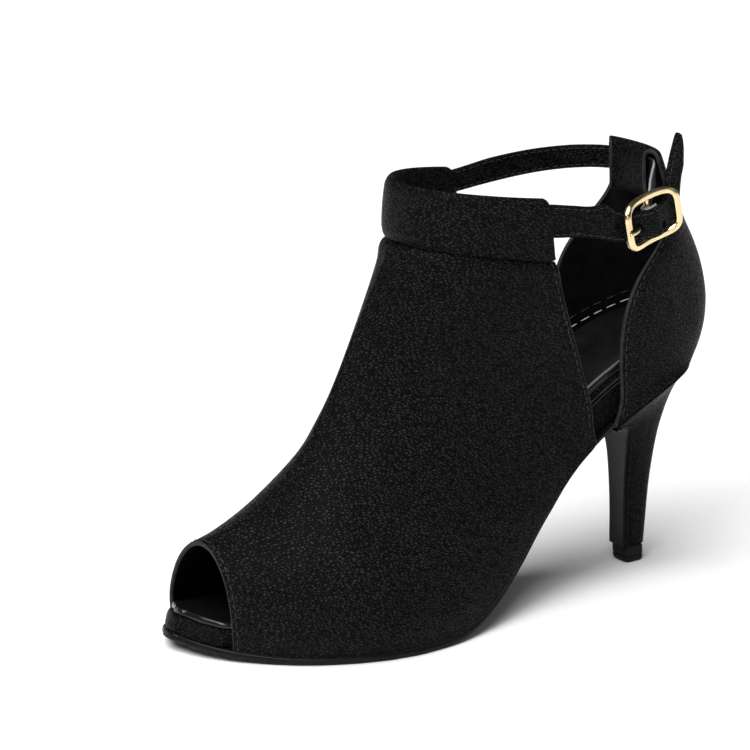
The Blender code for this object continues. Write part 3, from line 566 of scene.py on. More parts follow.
def counter_faces(angles):
    """Outer and inner faces of the heel cup and of the fold at its top."""
    columns = ("front_x", "front_y", "front_z", "back_x", "back_z", "square", "aside", "inner")
    seat = seat_edge(0.0)
    run = length_along(seat)
    length = length_along(counter_row(*(COUNTER_ROWS[c][0] for c in columns), angles))
    spots = run[-1] * length / length[-1]
    foot_x, foot_y = (np.interp(spots, run, seat[:, k]) for k in (0, 1))
    rows = [sole_point(foot_x, foot_y, OUTSOLE_THICK + GAP)]
    for values in zip(*(COUNTER_ROWS[c] for c in columns)):
        rows.append(counter_row(*values, angles))
    top = {c: COUNTER_ROWS[c][-1] for c in columns}
    for depth, z in zip(FOLD_ROWS["inward"], FOLD_ROWS["z"]):
        back = top["back_x"] + depth - FOLD_DRAW * (top["front_z"] - min(z, top["front_z"]))
        row = (top["front_x"] + depth * FOLD_FORWARD, top["front_y"] - depth * FOLD_SHORTER, z, back, z)
        inner = top["inner"] * (1.0 - depth / FOLD_ROWS["inward"].max())
        rows.append(counter_row(*row, top["square"], top["aside"], inner, angles))
    outside = np.array(rows)
    return outside, outside + normals(outside) * UPPER_WALL


def edges(rows):
    """Upper and lower edge points of a table of edges."""
    upper = np.stack([rows[c] for c in ("x_up", "y_up", "z_up")], -1)
    lower = np.stack([rows[c] for c in ("x_low", "y_low", "z_low")], -1)
    return upper, lower


def past_buckle(rows):
    """Upper and lower edge points of the free end, which turns up past the buckle."""
    upper = [buckle_spot(*spot) for spot in zip(rows["along_up"], rows["up_up"], rows["out"])]
    lower = [buckle_spot(*spot) for spot in zip(rows["along_low"], rows["up_low"], rows["out"])]
    return np.array(upper), np.array(lower)


def upright(rows):
    """Upper and lower edge points of a band that stands upright."""
    middle = np.stack([rows[c] for c in "xyz"], -1)
    rise = np.outer(rows["half"], (0.0, 0.0, 1.0))
    return middle + rise, middle - rise


def buckle_axes():
    """Long (to the rear), up and outward axes of the buckle."""
    long = Vector((-1.0, -BUCKLE_TURN, BUCKLE_TILT)).normalized()
    out = long.cross(Vector((0.0, 0.0, 1.0))).normalized()
    up = out.cross(long).normalized()
    if up.z < 0:
        up = -up
    return np.array(long), np.array(up), np.array(out)


def buckle_spot(along_it, up_it, out_it):
    """Point in the buckle's own frame."""
    long, up, out = buckle_axes()
    return np.array(BUCKLE_CENTRE) + long * along_it + up * up_it + out * out_it


def in_buckle(rows, half):
    """Upper and lower edge points of a band that lies across the buckle."""
    lift = rows.get("up", np.zeros(len(half)))
    upper = [buckle_spot(a, u + h, out) for a, u, out, h in zip(rows["along"], lift, rows["out"], half)]
    lower = [buckle_spot(a, u - h, out) for a, u, out, h in zip(rows["along"], lift, rows["out"], half)]
    return np.array(upper), np.array(lower)


def refine(upper, lower, count):
    """The same edges with evenly spread rows."""
    middle = (upper + lower) / 2
    run = length_along(middle)
    at = np.linspace(0.0, run[-1], count)
    new = [np.stack([smooth(run, side[:, k], at) for k in range(3)], -1) for side in (upper, lower)]
    return new[0], new[1]


# How far the toe and the back of the seat round out, and the turns of their arcs
TOE_CAP = 1.3
SEAT_CAP = 1.2
CAP_TURNS = np.radians((14.0, 28.0, 42.0, 55.0, 67.0, 78.0, 87.0))


def outline(start, inset):
    """Outer and inner sides of the outline from x = start to the toe, with rounded ends."""
    rows = np.linspace(0.0, 1.0, len(OUTLINE["x"]))
    fine = np.linspace(0.0, 1.0, 900)
    first = np.interp(start, smooth(rows, OUTLINE["x"], fine), fine)
    u = np.linspace(0.0, 1.0, OUTLINE_STATIONS)
    u = np.concatenate([[first], u[u > first + 0.25 / OUTLINE_STATIONS]])
    x = smooth(rows, OUTLINE["x"], u)
    outer = np.stack([x, smooth(rows, OUTLINE["outer"], u)], -1)
    inner = np.stack([x, smooth(rows, OUTLINE["inner"], u)], -1)
    toe = [(outer[-1] + inner[-1]) / 2, (outer[-1] - inner[-1]) / 2]
    for side, sign in ((0, 1), (1, -1)):
        cap = [toe[0] + toe[1] * sign * np.cos(a) + np.array([TOE_CAP * np.sin(a), 0.0]) for a in CAP_TURNS]
        if side == 0:
            outer = np.concatenate([outer, cap])
        else:
            inner = np.concatenate([inner, cap])
    if first == 0.0:
        back = [(outer[0] + inner[0]) / 2, (outer[0] - inner[0]) / 2]
        turns = CAP_TURNS[::-1]
        caps = [
            [back[0] + back[1] * sign * np.cos(a) - np.array([SEAT_CAP * np.sin(a), 0.0]) for a in turns]
            for sign in (1, -1)
        ]
        outer, inner = np.concatenate([caps[0], outer]), np.concatenate([caps[1], inner])
    loop = np.concatenate([outer, inner[::-1]])
    ahead = np.roll(loop, -1, axis=0) - np.roll(loop, 1, axis=0)
    if first > 0.0:
        ahead[0] = loop[1] - loop[0]
        ahead[-1] = loop[-1] - loop[-2]
    ahead = unit(ahead)
    inward = np.stack([ahead[:, 1], -ahead[:, 0]], -1)
    side = np.where(np.arange(len(loop)) < len(outer), 1.0, -1.0)
    moved = loop + inward * inset(loop[:, 0], side)[:, None]
    if first > 0.0:
        moved[[0, -1], 0] = start
    return moved[: len(outer)], moved[len(outer) :][::-1]


# Materials


def leaf(tree, kind, at, **values):
    """One node with its values set."""
    node = tree.nodes.new(kind)
    node.location = at
    for key, value in values.items():
        if key in node.inputs:
            node.inputs[key].default_value = value
        else:
            setattr(node, key, value)
    return node


def blank(name):
    """A new material with its tree and shader."""
    made = bpy.data.materials.new(name)
    made.use_nodes = True
    return made, made.node_tree, made.node_tree.nodes["Principled BSDF"]


def noise(tree, at, source, scale, detail=3.0, rough=0.6):
    """A noise read at the given place."""
    node = leaf(tree, "ShaderNodeTexNoise", at, Scale=scale, Detail=detail, Roughness=rough)
    tree.links.new(source, node.inputs["Vector"])
    return node


def set_inputs(shader, **values):
    """Constants of a shader, with a low line for each space in a name."""
    for key, value in values.items():
        shader.inputs[key.replace("_", " ")].default_value = value


def ramp(tree, at, stops, source):
    """A colour ramp fed by a value."""
    node = leaf(tree, "ShaderNodeValToRGB", at)
    marks = node.color_ramp.elements
    while len(marks) < len(stops):
        marks.new(0.5)
    for mark, (place, colour) in zip(marks, stops):
        mark.position = place
        mark.color = (*colour, 1.0) if isinstance(colour, tuple) else (colour, colour, colour, 1.0)
    tree.links.new(source, node.inputs[0])
    return node


def bumps(tree, shader, source, distance):
    """A bump of the given height in metres."""
    node = leaf(tree, "ShaderNodeBump", (-300, -300), Distance=distance, Strength=1.0)
    tree.links.new(source, node.inputs["Height"])
    tree.links.new(node.outputs[0], shader.inputs["Normal"])


# Leather grain: how far it wanders in metres, and how many cells lie in a cell's length on each axis
GRAIN_WANDER = (0.0016, 0.0016, 0.0012)
GRAIN_STRETCH = (0.72, 0.72, 1.5)


def grain_leather(name, valley_shade, crest, rough, cell, height, film):
    """Embossed leather: short wormy pebbles with satin crests; the colour is painted near black in the
    valleys between them, painted shade in the grain's hollows.
    """
    made, tree, shader = blank(name)
    place = leaf(tree, "ShaderNodeTexCoord", (-1500, 0))
    wander = noise(tree, (-1300, -200), place.outputs["Object"], 420.0, 2.0, 0.5)
    shift = leaf(tree, "ShaderNodeVectorMath", (-1100, -200), operation="MULTIPLY_ADD")
    shift.inputs[1].default_value = GRAIN_WANDER
    tree.links.new(wander.outputs["Color"], shift.inputs[0])
    tree.links.new(place.outputs["Object"], shift.inputs[2])
    size = leaf(tree, "ShaderNodeMapping", (-900, 0), Scale=tuple(k / cell for k in GRAIN_STRETCH))
    tree.links.new(shift.outputs[0], size.inputs["Vector"])
    cells = leaf(tree, "ShaderNodeTexVoronoi", (-700, 0), feature="DISTANCE_TO_EDGE", Scale=1.0)
    cells.inputs["Randomness"].default_value = 0.95
    tree.links.new(size.outputs[0], cells.inputs["Vector"])
    dome = ramp(tree, (-500, 0), ((0.0, 0.0), (0.085, 0.06), (0.24, 1.0)), cells.outputs["Distance"])
    fine = noise(tree, (-900, -500), place.outputs["Object"], 3.2 / cell)
    both = leaf(tree, "ShaderNodeMath", (-300, -500), operation="MULTIPLY_ADD")
    both.inputs[1].default_value = 0.35
    tree.links.new(fine.outputs["Fac"], both.inputs[0])
    tree.links.new(dome.outputs["Color"], both.inputs[2])
    broad = noise(tree, (-900, 400), place.outputs["Object"], 34.0, 3.0, 0.55)
    depth = leaf(tree, "ShaderNodeMath", (-300, 200), operation="MULTIPLY")
    lift = ramp(tree, (-500, 400), ((0.3, 0.72), (0.7, 1.0)), broad.outputs["Fac"])
    tree.links.new(dome.outputs["Color"], depth.inputs[0])
    tree.links.new(lift.outputs["Color"], depth.inputs[1])
    # Base colour from the painted shade in the valleys up to the crest tone, following the same pebbles as
    # the bump
    tint = ramp(tree, (-100, 200), ((0.0, valley_shade), (1.0, crest)), depth.outputs[0])
    tree.links.new(tint.outputs["Color"], shader.inputs["Base Color"])
    sheen = ((0.0, rough + 0.18), (0.55, rough), (1.0, rough - 0.06))
    gloss = ramp(tree, (-100, 0), sheen, depth.outputs[0])
    tree.links.new(gloss.outputs["Color"], shader.inputs["Roughness"])
    set_inputs(shader, Specular_IOR_Level=0.05, Coat_Weight=film, Coat_Roughness=0.4)
    bumps(tree, shader, both.outputs[0], height)
    return made


def plain_skin(name, low, high, rough, scale, height, coat=0.0):
    """Smooth leather, sole or edge: mottled colour, uneven gloss and a faint texture."""
    made, tree, shader = blank(name)
    place = leaf(tree, "ShaderNodeTexCoord", (-1300, 0))
    broad = noise(tree, (-900, 200), place.outputs["Object"], scale * 0.12, 4.0)
    fine = noise(tree, (-900, -200), place.outputs["Object"], scale)
    tint = ramp(tree, (-500, 200), ((0.3, low), (0.7, high)), broad.outputs["Fac"])
    tree.links.new(tint.outputs["Color"], shader.inputs["Base Color"])
    gloss = ramp(tree, (-500, 0), ((0.3, rough - 0.06), (0.7, rough + 0.08)), broad.outputs["Fac"])
    tree.links.new(gloss.outputs["Color"], shader.inputs["Roughness"])
    set_inputs(shader, Specular_IOR_Level=0.12, Coat_Weight=coat, Coat_Roughness=0.12)
    bumps(tree, shader, fine.outputs["Fac"], height)
    return made


def woven(name, dark, light, pitch, height):
    """Woven elastic: ribs along the band crossed by fine picks, read from the band's own map."""
    made, tree, shader = blank(name)
    place = leaf(tree, "ShaderNodeTexCoord", (-1300, 0))
    along_it = leaf(tree, "ShaderNodeTexWave", (-900, 200), bands_direction="X", Scale=1.0 / pitch)
    across = leaf(tree, "ShaderNodeTexWave", (-900, -200), bands_direction="Y", Scale=1.0 / pitch)
    size = leaf(tree, "ShaderNodeMapping", (-1100, 0), Scale=(0.32, 0.32, 0.32))
    tree.links.new(place.outputs["UV"], size.inputs["Vector"])
    for node in (along_it, across):
        node.inputs["Distortion"].default_value = 0.6
        node.inputs["Detail Scale"].default_value = 2.0
        tree.links.new(size.outputs[0], node.inputs["Vector"])
    both = leaf(tree, "ShaderNodeMath", (-600, 0), operation="MULTIPLY_ADD")
    both.inputs[1].default_value = 0.5
    tree.links.new(across.outputs["Fac"], both.inputs[0])
    tree.links.new(along_it.outputs["Fac"], both.inputs[2])
    tint = ramp(tree, (-300, 200), ((0.2, dark), (1.0, light)), both.outputs[0])
    tree.links.new(tint.outputs["Color"], shader.inputs["Base Color"])
    shader.inputs["Roughness"].default_value = 0.85
    bumps(tree, shader, both.outputs[0], height)
    return made


def polished(name, colour, rough):
    """Plated metal with faint wear in its polish."""
    made, tree, shader = blank(name)
    place = leaf(tree, "ShaderNodeTexCoord", (-1100, 0))
    fine = noise(tree, (-900, 0), place.outputs["Object"], 900.0)
    broad = noise(tree, (-900, -300), place.outputs["Object"], 160.0)
    gloss = ramp(tree, (-500, 0), ((0.35, rough), (0.75, rough + 0.12)), broad.outputs["Fac"])
    tree.links.new(gloss.outputs["Color"], shader.inputs["Roughness"])
    deep = tuple(c * 0.82 for c in colour)
    tint = ramp(tree, (-500, 300), ((0.3, deep), (0.6, colour)), broad.outputs["Fac"])
    tree.links.new(tint.outputs["Color"], shader.inputs["Base Color"])
    shader.inputs["Metallic"].default_value = 1.0
    bumps(tree, shader, fine.outputs["Fac"], 0.00001)
    return made


# Near-black colour of the grain's valleys: painted shade in the hollows between the pebbles
PAINTED_VALLEY_SHADE = (0.0001, 0.0001, 0.0002)
LEATHER = grain_leather("pebbled_leather", PAINTED_VALLEY_SHADE, (0.021, 0.021, 0.022), 0.34, 0.00118, 0.0007, 0.01)
WRAP = grain_leather("wrapped_leather", PAINTED_VALLEY_SHADE, (0.017, 0.017, 0.018), 0.34, 0.00105, 0.0005, 0.01)
LINING = plain_skin("lining", (0.0015, 0.0015, 0.0018), (0.004, 0.004, 0.0044), 0.55, 1500.0, 0.00006)
EDGE = plain_skin("cut_edge", (0.012, 0.012, 0.013), (0.035, 0.035, 0.037), 0.6, 2600.0, 0.00006)
SOLE = plain_skin("outsole_black", (0.004, 0.004, 0.004), (0.008, 0.008, 0.008), 0.36, 900.0, 0.00003)
FOOTBED = plain_skin(
    "gloss_footbed", (0.003, 0.003, 0.0032), (0.007, 0.007, 0.007), 0.30, 700.0, 0.00004, 0.5
)
COVER = plain_skin("breast_cover_black", (0.002, 0.002, 0.002), (0.005, 0.005, 0.005), 0.42, 900.0, 0.00003)
RUBBER = plain_skin("tip_rubber", (0.006, 0.006, 0.006), (0.012, 0.012, 0.012), 0.62, 2200.0, 0.00006)
THREAD = plain_skin("dark_thread", (0.018, 0.018, 0.019), (0.05, 0.05, 0.052), 0.6, 4000.0, 0.00004)
PALE_THREAD = plain_skin("pale_thread", (0.30, 0.30, 0.30), (0.46, 0.46, 0.45), 0.6, 4000.0, 0.00004)
ELASTIC = woven("elastic_weave", (0.006, 0.006, 0.007), (0.05, 0.05, 0.054), 0.9, 0.00012)
SELVEDGE = woven("elastic_edge", (0.16, 0.16, 0.16), (0.42, 0.42, 0.41), 0.7, 0.00012)
GOLD = polished("gold_plate", (0.90, 0.72, 0.42), 0.14)


# Mesh helpers


def face_out(mesh):
    """All faces of a closed mesh turned outwards."""
    work = bmesh.new()
    work.from_mesh(mesh)
    bmesh.ops.recalc_face_normals(work, faces=work.faces)
    work.to_mesh(mesh)
    work.free()


def add(name, data):
    """A new object in the scene."""
    made = bpy.data.objects.new(name, data)
    bpy.context.scene.collection.objects.link(made)
    return made


def put(name, points, faces, materials, marks, nodes=(), uv=None, sharp=SHARP_ANGLE):
    """One piece from points in millimetres, with its materials, slot and body."""
    mesh = bpy.data.meshes.new(name)
    mesh.from_pydata((np.asarray(points, dtype=float) * MM).tolist(), [], faces)
    face_out(mesh)
    for material in materials:
        mesh.materials.append(material)
    if marks is not None:
        mesh.polygons.foreach_set("material_index", np.asarray(marks, dtype=np.int32))
    if uv is not None:
        layer_uv = mesh.uv_layers.new(name="map")
        corners = np.empty(len(mesh.loops), dtype=np.int32)
        mesh.loops.foreach_get("vertex_index", corners)
        layer_uv.data.foreach_set("uv", np.asarray(uv, dtype=np.float32)[corners].ravel())
    mesh.shade_smooth()
    mesh.set_sharp_from_angle(angle=sharp)
    piece = add(name, mesh)
    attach(piece, "root")
    if nodes:
        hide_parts(*nodes)
    return piece


def grid_faces(rows, columns, first=0, wrap=False):
    """Quads of a grid of points, wrapped round when its columns close."""
    faces = []
    for i in range(rows - 1):
        for j in range(columns if wrap else columns - 1):
            a = first + i * columns + j
            b = first + i * columns + (j + 1) % columns
            faces.append((a, b, b + columns, a + columns))
    return faces


def skin(name, outside, inside, materials, nodes, swell=0.35):
    """A wall between two grids with rounded rims: outer face, lining and edge."""
    rows, columns = outside.shape[:2]
    count = rows * columns
    faces = grid_faces(rows, columns) + grid_faces(rows, columns, count)
    marks = [0] * ((rows - 1) * (columns - 1)) + [1] * ((rows - 1) * (columns - 1))
    rim = [(0, j) for j in range(columns)]
    rim += [(i, columns - 1) for i in range(1, rows)]
    rim += [(rows - 1, j) for j in range(columns - 2, -1, -1)]
    rim += [(i, 0) for i in range(rows - 2, 0, -1)]
    extra = []
    for i, j in rim:
        near = outside[min(max(i, 1), rows - 2), min(max(j, 1), columns - 2)]
        wall = outside[i, j] - inside[i, j]
        thick = np.linalg.norm(wall)
        away = outside[i, j] - near
        away -= wall * (away @ wall) / thick**2
        away /= max(np.linalg.norm(away), 1e-9)
        middle = (outside[i, j] + inside[i, j]) / 2
        for k in range(RIM_STEPS):
            turn = np.pi * (k + 1) / (RIM_STEPS + 1)
            extra.append(middle + wall / 2 * np.cos(turn) + away * thick * swell * np.sin(turn))
    flat = [i * columns + j for i, j in rim]
    base = 2 * count
    total = len(rim)
    for a in range(total):
        b = (a + 1) % total
        ladder = [(flat[a], flat[b])]
        ladder += [(base + a * RIM_STEPS + k, base + b * RIM_STEPS + k) for k in range(RIM_STEPS)]
        ladder += [(count + flat[a], count + flat[b])]
        for (p, q), (r, s) in zip(ladder, ladder[1:]):
            faces.append((p, q, s, r))
            marks.append(2)
    points = np.concatenate([outside.reshape(-1, 3), inside.reshape(-1, 3), extra])
    return put(name, points, faces, materials, marks, nodes)


def hose(name, rings, materials, nodes=(), marks=None, closed=False, uv=None, sharp=SHARP_ANGLE):
    """A body through closed rings, with fan caps unless it closes on itself."""
    rings = np.asarray(rings)
    turns, count = rings.shape[:2]
    faces = grid_faces(turns, count, wrap=True)
    points = rings.reshape(-1, 3)
    if closed:
        last = (turns - 1) * count
        faces += [(last + j, last + (j + 1) % count, (j + 1) % count, j) for j in range(count)]
    else:
        for base in (0, (turns - 1) * count):
            points = np.concatenate([points, [points[base : base + count].mean(axis=0)]])
            hub = len(points) - 1
            faces += [(base + j, base + (j + 1) % count, hub) for j in range(count)]
            if uv is not None:
                uv = np.concatenate([uv, [uv[base]]])
    if marks is not None:
        body = [marks[j % len(marks)] for _ in range(turns - 1) for j in range(count)]
        marks = body + [marks[0]] * (len(faces) - len(body))
    return put(name, points, faces, materials, marks, nodes, uv, sharp)


def bar(path, radii, sides=10, closed=False, flat=1.0, up=None):
    """Rings of a round bar along a path, which may be flattened along a given way."""
    path = np.asarray(path, dtype=float)
    if closed:
        ahead = np.roll(path, -1, axis=0) - np.roll(path, 1, axis=0)
    else:
        ahead = np.gradient(path, axis=0)
    ahead = unit(ahead)
    up = np.array([0.0, 0.0, 1.0]) if up is None else up
    turns = np.arange(sides) * 2 * np.pi / sides
    rings = []
    for spot, way, radius in zip(path, ahead, np.broadcast_to(radii, len(path))):
        first = up - way * (up @ way)
        first /= max(np.linalg.norm(first), 1e-9)
        second = np.cross(way, first)
        rings.append([spot + radius * (np.cos(a) * first * flat + np.sin(a) * second) for a in turns])
    return np.array(rings)


def at_run(path, runs):
    """Points of a path at the given runs."""
    line = length_along(path)
    return np.stack([np.interp(runs, line, path[:, k]) for k in range(path.shape[1])], -1)


def stitches(name, lines, thread, stitch=2.6, gap=0.9, radius=0.22):
    """Rows of stitches, each a short rounded thread that dips into the leather at its ends."""
    shape = ((0.0, 0.35, -0.9), (0.12, 0.8, -0.1), (0.5, 1.0, 0.35), (0.88, 0.8, -0.1), (1.0, 0.35, -0.9))
    sides = 6
    points, faces = [], []
    for path, away in lines:
        line = length_along(path)
        count = int((line[-1] + gap) // (stitch + gap))
        pitch = (line[-1] + gap) / count
        for k in range(count):
            start = k * pitch
            runs = [start + (pitch - gap) * s for s, _, _ in shape]
            spots = at_run(path, runs)
            ups = np.stack([np.interp(runs, line, away[:, c]) for c in range(3)], -1)
            spots = spots + ups * np.array([[radius * h] for _, _, h in shape])
            rings = bar(spots, [radius * r for _, r, _ in shape], sides, up=ups[len(shape) // 2])
            first = len(points)
            points.extend(rings.reshape(-1, 3))
            faces += grid_faces(len(shape), sides, first, wrap=True)
            last = first + (len(shape) - 1) * sides
            faces.append(tuple(first + j for j in range(sides)))
            faces.append(tuple(last + j for j in reversed(range(sides))))
    return put(name, points, faces, [thread], None)


def edge_line(grid, away, distance):
    """Line on a grid at a distance in from its first column, with its outward ways."""
    spots, ups = [], []
    for row, up in zip(grid, away):
        line = length_along(row)
        spots.append([np.interp(distance, line, row[:, k]) for k in range(3)])
        ups.append([np.interp(distance, line, up[:, k]) for k in range(3)])
    return np.array(spots), np.array(ups)


def soften(grid, passes):
    """Even out a grid along its rows, keeping its first and last."""
    for _ in range(passes):
        grid[1:-1] = (grid[:-2] + 2 * grid[1:-1] + grid[2:]) / 4
    return grid


def bell(distance, width):
    """A soft bump: one at no distance, fading out over the width."""
    return np.exp(-((distance / width) ** 2))


def dents(points, away, rows):
    """Move a grid in or out along soft lines: each row is a line with its width and height."""
    moved = points.copy()
    for x0, y0, z0, x1, y1, z1, width, height in zip(*rows.values()):
        a, b = np.array([x0, y0, z0]), np.array([x1, y1, z1])
        share = np.clip(((points - a) @ (b - a)) / ((b - a) @ (b - a)), 0.0, 1.0)
        reach = np.linalg.norm(points - (a + share[..., None] * (b - a)), axis=-1)
        fade = 0.45 + 0.55 * np.sin(np.pi * np.clip(share, 0.02, 0.98))
        moved += away * (height * fade * bell(reach, width))[..., None]
    return moved


# Soft creases: a line, how wide it is and how far it stands out
CREASE_SIZES = (SHOE_LENGTH, BALL_WIDTH, COLLAR_HEIGHT) * 2 + (1.0, 1.0)
VAMP_CREASES = table(
    "x0 y0 z0 x1 y1 z1 width height",
    CREASE_SIZES,
    (
        (0.48, 0.42, 0.10, 0.60, 0.10, 0.44, 7.0, -1.0),
        (0.55, 0.42, 0.12, 0.66, 0.12, 0.36, 6.0, 0.7),
        (0.40, 0.42, 0.30, 0.50, 0.20, 0.60, 9.0, -0.9),
        (0.30, 0.40, 0.35, 0.36, 0.38, 0.62, 8.0, 0.7),
        (0.42, 0.36, 0.56, 0.53, 0.10, 0.70, 6.0, -0.5),
        (0.48, -0.40, 0.10, 0.60, -0.20, 0.42, 7.0, -1.0),
        (0.40, -0.38, 0.30, 0.50, -0.25, 0.58, 9.0, -0.9),
    ),
)

COUNTER_CREASES = table(
    "x0 y0 z0 x1 y1 z1 width height",
    CREASE_SIZES,
    (
        (-0.08, 0.24, 0.52, -0.03, 0.26, 0.74, 7.0, -0.5),
        (-0.12, 0.16, 0.60, -0.11, 0.14, 0.80, 8.0, 0.4),
        (-0.14, -0.02, 0.58, -0.13, -0.05, 0.78, 9.0, -0.4),
        (-0.06, -0.24, 0.50, -0.03, -0.26, 0.72, 7.0, -0.5),
    ),
)

# Seam down the middle of the vamp: a groove with a low ridge on both sides
SEAM_ANGLE = 0.5
SEAM_SPAN = 0.02
SEAM_COLUMNS = 15
SEAM_DEPTH = 0.55
SEAM_WIDTH = 0.55
SEAM_RIDGE = 0.22
RIDGE_AT = 1.5
RIDGE_WIDE = 0.9
# Rolled top of the vamp under the cuff
ROLL_OUT = 0.75
ROLL_AT = 4.2
ROLL_WIDE = 3.2
ROLL_IN = 1.0
ROLL_SHORT = 1.3
# How far in from an edge the stitches run
VAMP_STITCH_IN = 1.7
COUNTER_STITCH_IN = 1.6
STRAP_STITCH_IN = 1.25


def build_vamp():
    """Front of the upper: grain outside, lining inside, a seam down its middle."""
    step = np.linspace(0.0, 1.0, VAMP_COLUMNS)
    angles = step + VAMP_SPREAD * np.sin(4 * np.pi * step)
    close = SEAM_ANGLE + np.linspace(-1.0, 1.0, SEAM_COLUMNS) ** 3 * SEAM_SPAN
    away_from_seam = np.abs(angles - SEAM_ANGLE) > SEAM_SPAN + CLOSEST
    angles = np.unique(np.concatenate([angles[away_from_seam], close]))
    rows = np.linspace(0.0, 1.0, VAMP_ROWS)
    smoothed, inside = vamp_faces(rows, angles)
    smoothed, inside = soften(smoothed, 5), soften(inside, 5)
    away = normals(smoothed)
    middle = int(np.argmin(np.abs(angles - SEAM_ANGLE)))
    outside = dents(smoothed, away, VAMP_CREASES)
    for i in range(VAMP_ROWS):
        line = length_along(smoothed[i])
        far = np.abs(line - line[middle])
        rise = SEAM_RIDGE * bell(far - RIDGE_AT, RIDGE_WIDE) - SEAM_DEPTH * bell(far, SEAM_WIDTH)
        fall = np.linalg.norm(smoothed[-1] - smoothed[i], axis=1)
        rise += ROLL_OUT * bell(fall - ROLL_AT, ROLL_WIDE) - ROLL_IN * bell(fall, ROLL_SHORT)
        outside[i] += away[i] * rise[:, None]
    skin("vamp_skin", outside, inside, [LEATHER, LINING, EDGE], ["vamp"])
    above = rows > VAMP_CORNER + 0.01
    lines = []
    for flip in (1, -1):
        side = outside[above][:, ::flip]
        lines.append(edge_line(side, away[above][:, ::flip], VAMP_STITCH_IN))
    across = np.swapaxes(outside, 0, 1)
    lines.append(edge_line(across, np.swapaxes(away, 0, 1), VAMP_STITCH_IN))
    stitches("vamp_stitches", lines, THREAD)


def closed_profile(rows, count):
    """A closed smooth profile through the table's points, evenly spread."""
    out, up = rows["out"], rows["up"]
    ends = np.arange(len(out) + 6) - 3
    knots = ends.astype(float)
    at = np.linspace(0.0, len(out), count, endpoint=False)
    return np.stack([smooth(knots, v[ends % len(out)], at) for v in (out, up)], -1)


# Rounding of the cuff's ends and top corners, and how its foot tucks in
CUFF_END = 2.4
CUFF_CORNER = 4.0
CUFF_TUCK = 0.5
CUFF_TUCK_SPAN = 1.6
CUFF_CLOSE = 0.012


def build_cuff():
    """Padded collar band, rounded over its top and at its rear corners."""
    step = np.linspace(0.0, 1.0, CUFF_COLUMNS)
    ends = CUFF_CLOSE * (1.0 - np.cos(np.linspace(0.0, np.pi / 2, 8)))
    middle = step[np.minimum(step, 1.0 - step) > CUFF_CLOSE + CLOSEST]
    step = np.unique(np.concatenate([ends, middle, 1.0 - ends]))
    path = vamp_section(1.0, step)
    run = length_along(path)
    ahead = np.gradient(path, run, axis=0)
    out = -unit(np.stack([-ahead[:, 1], ahead[:, 0], np.zeros(len(path))], -1))
    profile = closed_profile(CUFF_PROFILE, CUFF_POINTS)
    centre = (profile[:, 0].max() + profile[:, 0].min()) / 2
    rings = []
    for i, share in enumerate(step):
        around = 1.0 - abs(2.0 * share - 1.0)
        lift, height, lean = (along(CUFF_RIM, c, around, "around") for c in ("lift", "height", "lean"))
        end = min(run[i], run[-1] - run[i])
        slim = np.sqrt(max(1.0 - (1.0 - min(end / CUFF_END, 1.0)) ** 2, 0.01))
        drop = CUFF_CORNER * (1.0 - np.sqrt(max(1.0 - (1.0 - min(end / CUFF_CORNER, 1.0)) ** 2, 0.0)))
        puff = 1.0 + 0.05 * np.sin(run[i] / 9.0) + 0.03 * np.sin(run[i] / 4.3)
        ring = []
        for aside, up in profile:
            spread = centre + (aside - centre) * slim * (puff if 0.15 < up < 0.9 else 1.0)
            spread -= np.sign(aside - centre) * CUFF_TUCK * bell(up * height, CUFF_TUCK_SPAN)
            tall = lift + (height - drop) * up + (0.25 * drop * (1.0 - up))
            ring.append(path[i] + out[i] * spread + np.array([lean * up, 0.0, tall]))
        rings.append(ring)
    cuff = hose("cuff_pad", rings, [LEATHER], ["cuff"])


def refine_rows(grid, steps):
    """More rows in between, following each column smoothly."""
    middle = grid[:, grid.shape[1] // 2]
    knots = (length_along(grid[:, 0]) + length_along(middle) + length_along(grid[:, -1])) / 3
    at = np.unique(np.concatenate([np.linspace(a, b, steps + 1) for a, b in zip(knots, knots[1:])]))
    out = np.empty((len(at), grid.shape[1], 3))
    for j in range(grid.shape[1]):
        for k in range(3):
            out[:, j, k] = smooth(knots, grid[:, j, k], at)
    return out


# Rows of stitches on the heel cup's lining, which dip towards its front edges
INNER_ROWS = (2.8, 3.2)
INNER_DIP = 0.7
INNER_KEEP = 0.03
LINING_STITCH = 4.2
LINING_GAP = 1.6
# How many rows below the cup's top its cross stitches run
TOP_STITCH_ROWS = 2.4


# How far the cup's foot laps out and down over the top of the heel
FOOT_OUT = 0.9
FOOT_DOWN = 0.9


def row_at(grid, knot, dip=0.0):
    """Line of a refined grid at a row of the table that it came from."""
    ends = np.abs(np.linspace(-1.0, 1.0, grid.shape[1])) ** 3
    spot = (knot - dip * ends) * COUNTER_ROW_STEPS
    low = spot.astype(int)
    part = (spot - low)[:, None]
    columns = np.arange(grid.shape[1])
    return grid[low, columns] * (1.0 - part) + grid[low + 1, columns] * part


